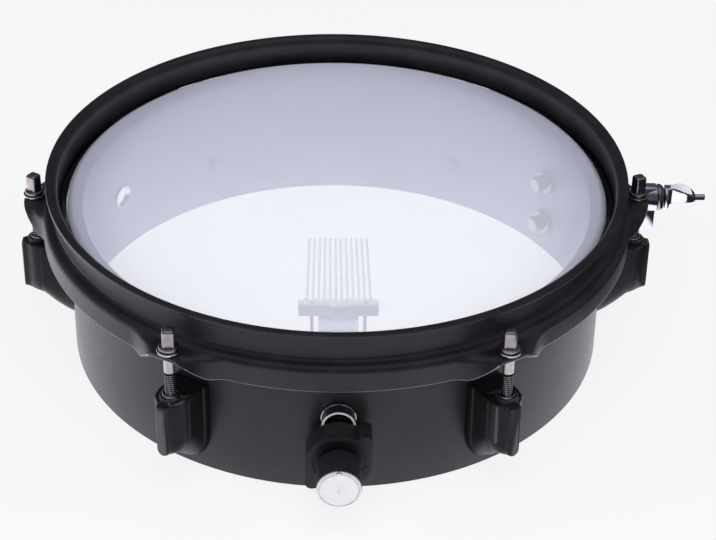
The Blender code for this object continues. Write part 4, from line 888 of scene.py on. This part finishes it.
def build_lever():
    place = outward(PLAYER_SIDE, LEVER_BACK, CONTROL_Z)
    lever = extruded("lever_body", lever_outline(), 0.0, LEVER_DEPTH, place, PLASTIC)
    dish = revolve("dish", softened([(0.0, LEVER_DEPTH - 0.0007), (0.0112, LEVER_DEPTH - 0.0007),
                                     (0.0116, LEVER_DEPTH + 0.004), (0.0, LEVER_DEPTH + 0.004)], 0.0003),
                   place, None, steps=96)
    ring = revolve("ring", [(0.0144, 0.0046), (0.0138, 0.0050), (0.0144, 0.0054), (0.0165, 0.0054),
                            (0.0165, 0.0046)], place, None, steps=96, closed=True)
    slot = extruded("mark", [(-0.00022, 0.0), (0.00022, 0.0), (0.00022, 0.003), (-0.00022, 0.003)],
                    LEVER_DEPTH - 0.0004, LEVER_DEPTH + 0.003,
                    place @ Matrix.Translation((0.0128, -0.0020, 0.0)) @ Matrix.Rotation(
                        math.radians(65.0), 4, "Z"), None)
    bore = rod_tool(0.0024, -0.05, 0.05, place)
    shape(lever, cutters=[dish, ring, slot, bore], edge=0.0007, segments=4, angle=50.0, sharp=32.0)
    dress(lever, "lever", "black_casting", "throw_off_lever")
    inner_end = 0.1020 + SEAT
    shaft = revolve("lever_shaft_piece", softened([(0.0038, LEVER_BACK - inner_end - 0.0002), (0.0038, 0.0),
                    (0.0024, 0.0), (0.0024, LEVER_BACK - inner_end - 0.0002)], 0.0002, closed=True),
                    outward(PLAYER_SIDE, inner_end, CONTROL_Z), STEEL, steps=48, closed=True)
    web = revolve("cam_web", softened([(0.0025, 0.0), (0.0066, 0.0), (0.0066, 0.0024), (0.0025, 0.0024)],
                  0.0003, closed=True), outward(PLAYER_SIDE, inner_end, CONTROL_Z), STEEL, steps=48,
                  closed=True)
    pin = revolve("cam_pin", softened([(0.0, -0.0048), (0.0012, -0.0048), (0.0012, 0.0012), (0.0, 0.0012)],
                  0.0002), outward(PLAYER_SIDE, inner_end, CONTROL_Z + 0.0048), STEEL, steps=32)
    for piece in (shaft, web, pin):
        dress(piece, "lever", "black_casting")


def build_knob():
    base = LEVER_FACE + SEAT
    place = outward(PLAYER_SIDE, base, CONTROL_Z)
    profile = [(0.0, KNOB_LENGTH), (KNOB_RADIUS, KNOB_LENGTH), (KNOB_RADIUS, 0.0024), (0.0078, 0.0024),
               (0.0078, 0.0), (0.0020, 0.0), (0.0020, 0.1023 - base), (0.0, 0.1023 - base)]
    knob = revolve("knob_body", softened(profile, 0.0005), place, PLASTIC, steps=128)
    dress(knob, "knob", "black_plastic", "tension_knob")
    face = outward(PLAYER_SIDE, base + KNOB_LENGTH + SEAT, CONTROL_Z)
    steps = 288
    teeth = 72
    rings = [(0.0, 0.0, 0.0), (0.0090, 0.0, 0.0), (0.00945, 0.00012, 1.0), (0.00955, 0.0003, 1.0),
             (0.00955, 0.0008, 1.0), (0.00935, 0.00105, 1.0), (0.0090, 0.00116, 0.2), (0.0087, 0.0012, 0.0),
             (0.0085, 0.0009, 0.0), (0.0083, 0.0009, 0.0), (0.0081, 0.0012, 0.0),
             (0.0060, 0.00118, 0.0), (0.0030, 0.00118, 0.0), (0.0011, 0.00118, 0.0),
             (0.0007, 0.00090, 0.0), (0.0, 0.00085, 0.0)]
    bm = bmesh.new()
    loops = []
    for radius, z, cut in rings:
        if radius == 0.0:
            loops.append([bm.verts.new((0.0, 0.0, z))])
            continue
        loop = []
        for k in range(steps):
            angle = 2 * math.pi * k / steps
            wave = 0.5 + 0.5 * math.cos(teeth * angle)
            reach = radius - 0.00034 * cut * wave
            from_notch = abs((math.degrees(angle) - 90.0 + 180.0) % 360.0 - 180.0)
            if radius > 0.0088 and z > 0.0 and from_notch < 7.0:
                reach -= 0.0016 * smooth_step((7.0 - from_notch) / 2.0)
            loop.append(bm.verts.new((reach * math.cos(angle), reach * math.sin(angle), z)))
        loops.append(loop)
    for lower, upper in zip(loops, loops[1:]):
        for k in range(steps):
            j = (k + 1) % steps
            corners = [lower[k % len(lower)], lower[j % len(lower)], upper[j % len(upper)],
                       upper[k % len(upper)]]
            unique = [c for i, c in enumerate(corners) if c not in corners[:i]]
            if len(unique) > 2:
                bm.faces.new(unique)
    cap = make("knob_disc", bm, face, FACE, sharp=40.0)
    cap.data.materials.append(RIM)
    cap.data.materials.append(PLASTIC)
    for flank in cap.data.polygons:
        if abs(flank.normal.y) < 0.8:
            in_notch = abs(flank.center.x - AXIS_X) < 0.0010 and flank.center.z > CONTROL_Z + 0.0060
            flank.material_index = 2 if in_notch else 1
    dress(cap, "knob", "bright_chrome", "knob_cap")


# Snares

BAR_Y = -0.0930
BAR_HIGH = 0.0748
WIRE_COUNT = 12
WIRE_TURNS = 20
WIRE_POINTS = 12


def wire_path(index):
    share = index / (WIRE_COUNT - 1) - 0.5
    coil = 0.00058
    wire = 0.00022
    face = BAR_Y + 0.0021
    start = face + 2 * wire
    root_x, tip_x = share * 0.0277, share * 0.0259
    z0 = BAR_HIGH - coil - wire - 0.0001
    points = [(root_x + coil, face - 0.0015, z0), (root_x + coil, start, z0)]
    steps = WIRE_TURNS * WIRE_POINTS
    for k in range(1, steps + 1):
        along = k / steps
        angle = 2 * math.pi * WIRE_TURNS * along
        x = root_x + (tip_x - root_x) * along
        points.append((x + coil * math.cos(angle), start + (0.0485 - 2 * wire) * along,
                       z0 + 0.0008 * along + coil * math.sin(angle)))
    last = points[-1]
    return points + [(last[0], last[1] + 2 * wire, last[2])]


def build_snares():
    half, depth = 0.0175, 0.0021
    outline = softened([(-half, -depth), (half, -depth), (half, depth), (-half, depth)], 0.0006,
                       closed=True)
    bar = extruded("wire_holder", outline, 0.0690, BAR_HIGH, Matrix.Translation((0.0, BAR_Y, 0.0)), ZINC)
    stem = rod_tool(0.0030, 0.0618, 0.0700, Matrix.Translation((0.0, BAR_Y, 0.0)))
    groove = extruded("groove", [(-half - 0.002, -0.0002), (half + 0.002, -0.0002), (half + 0.002, 0.0002),
                                 (-half - 0.002, 0.0002)], 0.0744, 0.0760,
                      Matrix.Translation((0.0, BAR_Y - 0.0007, 0.0)), None)
    pins = [rod_tool(0.0011, 0.06, 0.08, Matrix.Translation((x, BAR_Y, 0.0))) for x in (-0.0116, 0.0116)]
    shape(bar, joined=[stem], cutters=[groove] + pins, edge=0.00025, segments=2, angle=50.0)
    dress(bar, "wires", "pale_zinc", "wire_bar")
    block = extruded("bar_block", softened([(-0.0038, -0.0011), (0.0038, -0.0011), (0.0038, 0.0004),
                                            (-0.0038, 0.0004)], 0.0003, closed=True),
                     0.0712, BAR_HIGH - 0.0002, Matrix.Translation((0.0, BAR_Y - depth, 0.0)), ZINC)
    dress(shape(block, edge=0.0003, segments=2), "wires", "pale_zinc")
    wires = wired("coiled_wires", [wire_path(i) for i in range(WIRE_COUNT)], 0.00022, 2, Matrix(), WIRE)
    dress(wires, "wires", "pale_zinc")


# Clamp

TUBE_X = 0.1405
THROAT = 0.0127 + SEAT
JAW = 0.0050


def clamp_outline():
    base = (SHELL_RADIUS + SEAT) * math.cos(math.radians(CLAMP_ANGLE)) - 0.001
    outer = THROAT + JAW
    mouth = CLAMP_Y + 0.0085
    near = arc((TUBE_X, CLAMP_Y), outer, -125.0, -35.0, 28)
    outline = [(base, CLAMP_Y - 0.0120)] + near
    outline += [(0.1573, CLAMP_Y - 0.0055), (0.1645, CLAMP_Y - 0.00315), (0.1645, CLAMP_Y + 0.00315)]
    outline += [(0.1573 + JAW / 2, CLAMP_Y + 0.00315), (TUBE_X + outer, mouth - JAW / 2),
                (TUBE_X + outer - JAW / 2, mouth), (TUBE_X + THROAT, mouth)]
    outline += arc((TUBE_X, CLAMP_Y), THROAT, 0.0, -180.0, 48)
    return outline + [(TUBE_X - THROAT, mouth), (base, mouth)]


def build_clamp():
    place = upright(CLAMP_ANGLE, SHELL_RADIUS + SEAT)
    outline = softened([(-0.0120, 0.0107), (0.0120, 0.0107), (0.0120, 0.0487), (-0.0120, 0.0487)], 0.0018,
                       closed=True, count=6)
    sections = []
    for depth, shrink in ((-0.0005, 0.0), (0.0036, 0.0), (0.0043, 0.00025), (0.0048, 0.0008),
                          (0.0050, 0.0016)):
        sections.append([(depth, y * (1 - shrink / 0.012), 0.0297 + (z - 0.0297) * (1 - shrink / 0.019))
                         for y, z in outline])
    pad = loft("clamp_arm", sections, place, CHROME)
    arm = extruded("arm", clamp_outline(), 0.0157, 0.0390, Matrix(), None)
    boss = rod_tool(0.0070, 0.1560 - TUBE_X, 0.1648 - TUBE_X, on_screw(TUBE_X), 72)
    tools = [rod_tool(SHELL_RADIUS + SEAT, -0.01, 0.10, Matrix(), 288),
             rod_tool(0.0041, 0.0, 0.04, on_screw(TUBE_X)),
             rod_tool(0.0063, 0.0, 0.0127 + 0.0024 + 3 * SEAT, on_screw(TUBE_X), 64)]
    tools += [rod_tool(0.0027, -0.02, 0.0045, outward(CLAMP_ANGLE, SHELL_RADIUS, z)) for z in BOLT_HEIGHTS]
    shape(pad, joined=[arm, boss], cutters=tools, edge=0.0005, segments=3, angle=35.0, sharp=32.0)
    dress(pad, "drum", "bright_chrome", "clamp_body")


def build_clamp_bolts():
    seat = math.sqrt(SHELL_INSIDE ** 2 - 0.0064 ** 2) - SEAT
    for index, height in enumerate(BOLT_HEIGHTS, start=1):
        place = outward(CLAMP_ANGLE, seat, height)
        cup = [(0.0064, 0.0), (0.0056, -0.0028), (0.0027, -0.0028), (0.0027, -0.0018), (0.0044, -0.0018),
               (0.0054, 0.0)]
        washer = revolve(f"cup_{index}_piece", softened(cup, 0.0004, closed=True), place, DULL_CUP,
                         steps=64, closed=True)
        dress(washer, "drum", "bright_chrome", f"clamp_cup_{index}")
        head = -0.0028 - SEAT
        tip = SHELL_RADIUS + SEAT + 0.0050 - 0.001 - seat
        shank = revolve("shank", [(0.0, tip), (0.0024, tip), (0.0024, head - 0.001), (0.0, head - 0.001)],
                        place, None, steps=48)
        outline = arc((0.0, 0.0), 0.0042, 0.0, 360.0, 7)[:-1]
        hexagon = extruded(f"bolt_{index}_piece", softened(outline, 0.0004, closed=True, count=3),
                           head - 0.0050, head, place, DULL_CUP)
        dome = revolve("dome", [(0.0, head + 0.001), (0.0060, head + 0.001), (0.0046, head - 0.0038),
                                (0.0034, head - 0.0050), (0.0, head - 0.0050)], place, None, steps=64)
        trim = hexagon.modifiers.new("trim", "BOOLEAN")
        trim.operation = "INTERSECT"
        trim.solver = "EXACT"
        trim.object = dome
        apply_all(hexagon)
        bpy.data.objects.remove(dome, do_unlink=True)
        shape(hexagon, joined=[shank], edge=0.0002, segments=2)
        dress(hexagon, "drum", "bright_chrome", f"clamp_bolt_{index}")


def paddle_section(place, half, low, high, round_by=0.0014, count=12):
    """A rounded rectangle across the screw's axis."""
    soft = min(round_by, half * 0.9, (high - low) * 0.45)
    points = []
    for cx, cy, start in ((half - soft, high - soft, 90.0), (half - soft, low + soft, 0.0),
                          (soft - half, low + soft, -90.0), (soft - half, high - soft, -180.0)):
        points += arc((cx, cy), soft, start, start - 90.0, count)
    return [(x, y, place) for x, y in points]


def corner_cut(stations, rounds=3):
    """Rounds a path of stations without folding it back on itself."""
    for _ in range(rounds):
        path = [stations[0]]
        for a, b in zip(stations, stations[1:]):
            path.append(tuple(0.75 * p + 0.25 * q for p, q in zip(a, b)))
            path.append(tuple(0.25 * p + 0.75 * q for p, q in zip(a, b)))
        stations = path + [stations[-1]]
    return stations


def build_clamp_screw():
    ring = [(0.0056, 0.0036), (0.00665, 0.00223), (0.0070, 0.0009), (0.00672, 0.0), (0.0041, 0.0),
            (0.0041, 0.0036)]
    end = 0.1648 + SEAT
    piece = revolve("clamp_dome", softened(ring, 0.0006, closed=True, least=12.0), on_screw(end), NICKEL,
                    steps=72, closed=True)
    dress(piece, "drum", "black_nickel", "clamp_ring")
    hub = end + 0.0036 + SEAT
    tip = 0.1465 + 0.0024 + SEAT - hub
    place = on_screw(hub)
    profile = softened([(0.0, 0.0024), (0.0052, 0.0024), (0.0064, 0.00144), (0.0064, 0.0), (0.0038, 0.0),
                        (0.0038, tip), (0.0, tip)], 0.0004)
    screw = revolve("wing_piece", profile, place, WING, steps=72)
    stations = [(0.0012, 0.0030, -0.0045, 0.0060), (0.0040, 0.0022, -0.0030, 0.0068),
                (0.0072, 0.0037, -0.0014, 0.0064), (0.0103, 0.0051, -0.0009, 0.0057),
                (0.0133, 0.0050, -0.0009, 0.0041), (0.0152, 0.0040, -0.0010, 0.0026),
                (0.0160, 0.0028, -0.0008, 0.0018)]
    paddle = loft("paddle", [paddle_section(*s) for s in corner_cut(stations)], place, None)
    nub = revolve("nub", softened([(0.0, 0.0133), (0.0015, 0.0133), (0.0015, 0.0212), (0.0, 0.0212)],
                                  0.0005), place, None, steps=40)
    shape(screw, joined=[paddle, nub], sharp=50.0)
    screw.data.materials.clear()
    screw.data.materials.append(WING)
    screw.data.materials.append(WING_LIT_TOP)
    # Up-facing paddle faces get the painted-light copy; the rest stays chrome.
    for face in screw.data.polygons:
        on_paddle = AXIS_X + hub + 0.003 < face.center.x < AXIS_X + hub + 0.0165
        face.material_index = 1 if face.normal.z > 0.80 and on_paddle else 0
    dress(screw, "clamp_screw", "bright_chrome", "clamp_wing_screw")


# Nodes that stay as they are, with a better finish

KEPT = {"strainer_bracket": ZINC, "snare_carriage": ZINC, "guide_pin_left": STEEL,
        "guide_pin_right": STEEL, "lever_clip": STEEL, "clamp_pad": STEEL}
KEPT.update({f"lug_screw_{k}": INSIDE for k in range(1, 7)})


def finish_kept_nodes():
    for name, finish in KEPT.items():
        obj = NODES[name]
        for slot in obj.material_slots:
            slot.material = finish
        rounding = obj.modifiers.new("rounding", "BEVEL")
        rounding.width = 0.0002
        rounding.segments = 2
        rounding.limit_method = "ANGLE"
        rounding.angle_limit = math.radians(40.0)


# Floor, lights and camera

BACKDROP = (0.930, 0.930, 0.930)
# Painted reflections: glossy rays see the floor dimmer near the front, brighter than white further back, and
# dark beyond an x span.
MIRRORED_NEAR = (0.90, 0.89, 1.01)       # how bright the floor looks in the finishes
MIRRORED_FAR = (1.45, 1.44, 1.58)
MIRRORED_SPAN = (-0.19, 0.02)
DARK_REFLECTION_PATCH = (0.02, 0.02, 0.03)
DARK_REFLECTION_PATCH_SPAN = (0.1600, 0.1630)          # painted dark reflection, seen by glossy rays on the floor beyond this x


def build_floor():
    bm = bmesh.new()
    bmesh.ops.create_grid(bm, x_segments=1, y_segments=1, size=6.0)
    floor = make("floor", bm, Matrix.Translation((0.0, 0.0, -0.0005)), None)
    material = bpy.data.materials.new("pale_floor")
    material.use_nodes = True
    nodes, links = material.node_tree.nodes, material.node_tree.links
    shader = nodes["Principled BSDF"]
    shader.inputs["Base Color"].default_value = (0.90, 0.90, 0.90, 1.0)
    shader.inputs["Roughness"].default_value = 0.9
    glow = nodes.new("ShaderNodeEmission")
    glow.inputs["Color"].default_value = (*BACKDROP, 1.0)
    path = nodes.new("ShaderNodeLightPath")
    seen = nodes.new("ShaderNodeMath")
    seen.operation = "MAXIMUM"
    links.new(path.outputs["Is Camera Ray"], seen.inputs[0])
    links.new(path.outputs["Is Transmission Ray"], seen.inputs[1])
    share = nodes.new("ShaderNodeMath")
    share.operation = "MULTIPLY"
    share.inputs[1].default_value = 0.90
    links.new(seen.outputs[0], share.inputs[0])
    mix = nodes.new("ShaderNodeMixShader")
    links.new(share.outputs[0], mix.inputs[0])
    links.new(shader.outputs[0], mix.inputs[1])
    links.new(glow.outputs[0], mix.inputs[2])
    # Painted reflections: what glossy rays see of the floor differs from its look to the camera.
    dim = nodes.new("ShaderNodeEmission")
    coords = nodes.new("ShaderNodeTexCoord")
    split = nodes.new("ShaderNodeSeparateXYZ")
    links.new(coords.outputs["Object"], split.inputs["Vector"])
    depth = nodes.new("ShaderNodeMapRange")
    depth.interpolation_type = "SMOOTHSTEP"
    depth.inputs["From Min"].default_value, depth.inputs["From Max"].default_value = MIRRORED_SPAN
    links.new(split.outputs["Y"], depth.inputs["Value"])
    shade = nodes.new("ShaderNodeMix")
    shade.data_type = "RGBA"
    shade.inputs[6].default_value = (*MIRRORED_NEAR, 1.0)
    shade.inputs[7].default_value = (*MIRRORED_FAR, 1.0)
    links.new(depth.outputs["Result"], shade.inputs[0])
    edge = nodes.new("ShaderNodeMapRange")
    edge.inputs["From Min"].default_value, edge.inputs["From Max"].default_value = DARK_REFLECTION_PATCH_SPAN
    links.new(split.outputs["X"], edge.inputs["Value"])
    dark_patch = nodes.new("ShaderNodeMix")
    dark_patch.data_type = "RGBA"
    dark_patch.inputs[7].default_value = (*DARK_REFLECTION_PATCH, 1.0)
    links.new(edge.outputs["Result"], dark_patch.inputs[0])
    links.new(shade.outputs[2], dark_patch.inputs[6])
    links.new(dark_patch.outputs[2], dim.inputs["Color"])
    mirrored = nodes.new("ShaderNodeMixShader")
    links.new(path.outputs["Is Glossy Ray"], mirrored.inputs[0])
    links.new(mix.outputs[0], mirrored.inputs[1])
    links.new(dim.outputs[0], mirrored.inputs[2])
    bounced = nodes.new("ShaderNodeMixShader")
    links.new(path.outputs["Is Diffuse Ray"], bounced.inputs[0])
    links.new(mirrored.outputs[0], bounced.inputs[1])
    links.new(glow.outputs[0], bounced.inputs[2])
    links.new(bounced.outputs[0], nodes["Material Output"].inputs["Surface"])
    floor.data.materials.append(material)


def build_world():
    world = bpy.data.worlds.new("studio")
    bpy.context.scene.world = world
    world.use_nodes = True
    nodes, links = world.node_tree.nodes, world.node_tree.links
    nodes.clear()
    output = nodes.new("ShaderNodeOutputWorld")
    plain = nodes.new("ShaderNodeBackground")
    plain.inputs["Color"].default_value = (*BACKDROP, 1.0)
    coords = nodes.new("ShaderNodeTexCoord")
    split = nodes.new("ShaderNodeSeparateXYZ")
    links.new(coords.outputs["Generated"], split.inputs["Vector"])
    ramp = nodes.new("ShaderNodeValToRGB")
    ramp.color_ramp.elements[0].position = 0.72
    ramp.color_ramp.elements[0].color = (0.08, 0.08, 0.10, 1.0)
    ramp.color_ramp.elements[1].position = 0.95
    ramp.color_ramp.elements[1].color = (0.50, 0.50, 0.56, 1.0)
    links.new(split.outputs["Z"], ramp.inputs["Fac"])
    room = nodes.new("ShaderNodeBackground")
    links.new(ramp.outputs["Color"], room.inputs["Color"])
    path = nodes.new("ShaderNodeLightPath")
    mix = nodes.new("ShaderNodeMixShader")
    links.new(path.outputs["Is Camera Ray"], mix.inputs[0])
    links.new(room.outputs[0], mix.inputs[1])
    links.new(plain.outputs[0], mix.inputs[2])
    links.new(mix.outputs[0], output.inputs["Surface"])


def area_light(name, spot, target, width, height, power):
    light = bpy.data.lights.new(name, "AREA")
    light.shape = "RECTANGLE"
    light.size = width
    light.size_y = height
    light.energy = power
    obj = bpy.data.objects.new(name, light)
    bpy.context.scene.collection.objects.link(obj)
    obj.location = spot
    obj.rotation_mode = "QUATERNION"
    obj.rotation_quaternion = (Vector(target) - Vector(spot)).to_track_quat("-Z", "Y")
    obj.visible_glossy = False


def build_lights():
    for name, spot, width, height, power in (
            ("left_box", (-1.5, 0.0, 0.45), 0.9, 0.8, 26.0), ("right_box", (1.5, 0.0, 0.45), 0.9, 0.8, 26.0),
            ("top_box", (0.0, -0.40, 0.75), 0.6, 0.4, 4.0), ("front_box", (0.0, -2.2, 0.5), 1.0, 0.4, 10.0)):
        area_light(name, spot, (0.0, 0.0, 0.03), width, height, power)


# The camera is the one fitted to the photograph, which is 716 by 540 pixels
PHOTO_WIDTH = 716.0
PHOTO_HEIGHT = 540.0
CAMERA_TILT = 0.5394
CAMERA_ROLL = 0.0103
CAMERA_TURN = math.radians(-0.8)
CAMERA_DISTANCE = 7.1682 * SHELL_RADIUS
CAMERA_TARGET_Z = 0.6941 * SHELL_RADIUS
FOCAL_PIXELS = 1933.1
CENTRE_X = 337.0
CENTRE_Y = 165.5075
SENSOR = 36.0


def build_camera():
    data = bpy.data.cameras.new("camera")
    camera = bpy.data.objects.new("camera", data)
    bpy.context.scene.collection.objects.link(camera)
    cosine, sine = math.cos(CAMERA_TILT), math.sin(CAMERA_TILT)
    spot = Vector((0.0, -CAMERA_DISTANCE * cosine, CAMERA_DISTANCE * sine + CAMERA_TARGET_Z))
    forward = Vector((0.0, cosine, -sine))
    right = Vector((1.0, 0.0, 0.0))
    up = right.cross(forward)
    across = right * math.cos(CAMERA_ROLL) + up * math.sin(CAMERA_ROLL)
    above = up * math.cos(CAMERA_ROLL) - right * math.sin(CAMERA_ROLL)
    turn = Matrix((across, above, -forward)).transposed().to_4x4()
    camera.matrix_world = DRUM @ Matrix.Rotation(CAMERA_TURN, 4, "Z") @ Matrix.Translation(spot) @ turn
    data.sensor_fit = "HORIZONTAL"
    data.sensor_width = SENSOR
    data.lens = FOCAL_PIXELS * SENSOR / PHOTO_WIDTH
    data.shift_x = (PHOTO_WIDTH / 2 - CENTRE_X) / PHOTO_WIDTH
    data.shift_y = -(PHOTO_HEIGHT / 2 - CENTRE_Y) / PHOTO_WIDTH
    data.clip_start = 0.05
    bpy.context.scene.camera = camera


build_camera()
build_world()
build_lights()
build_floor()
build_shell()
build_vent()
build_head()
build_hoop()
for number, degrees in enumerate(ROD_ANGLES, start=1):
    build_rod(number, degrees)
    build_lug(number, degrees)
build_base()
build_boss()
build_lever()
build_knob()
build_snares()
build_clamp()
build_clamp_bolts()
build_clamp_screw()
finish_kept_nodes()

bpy.context.scene.view_settings.view_transform = "Standard"
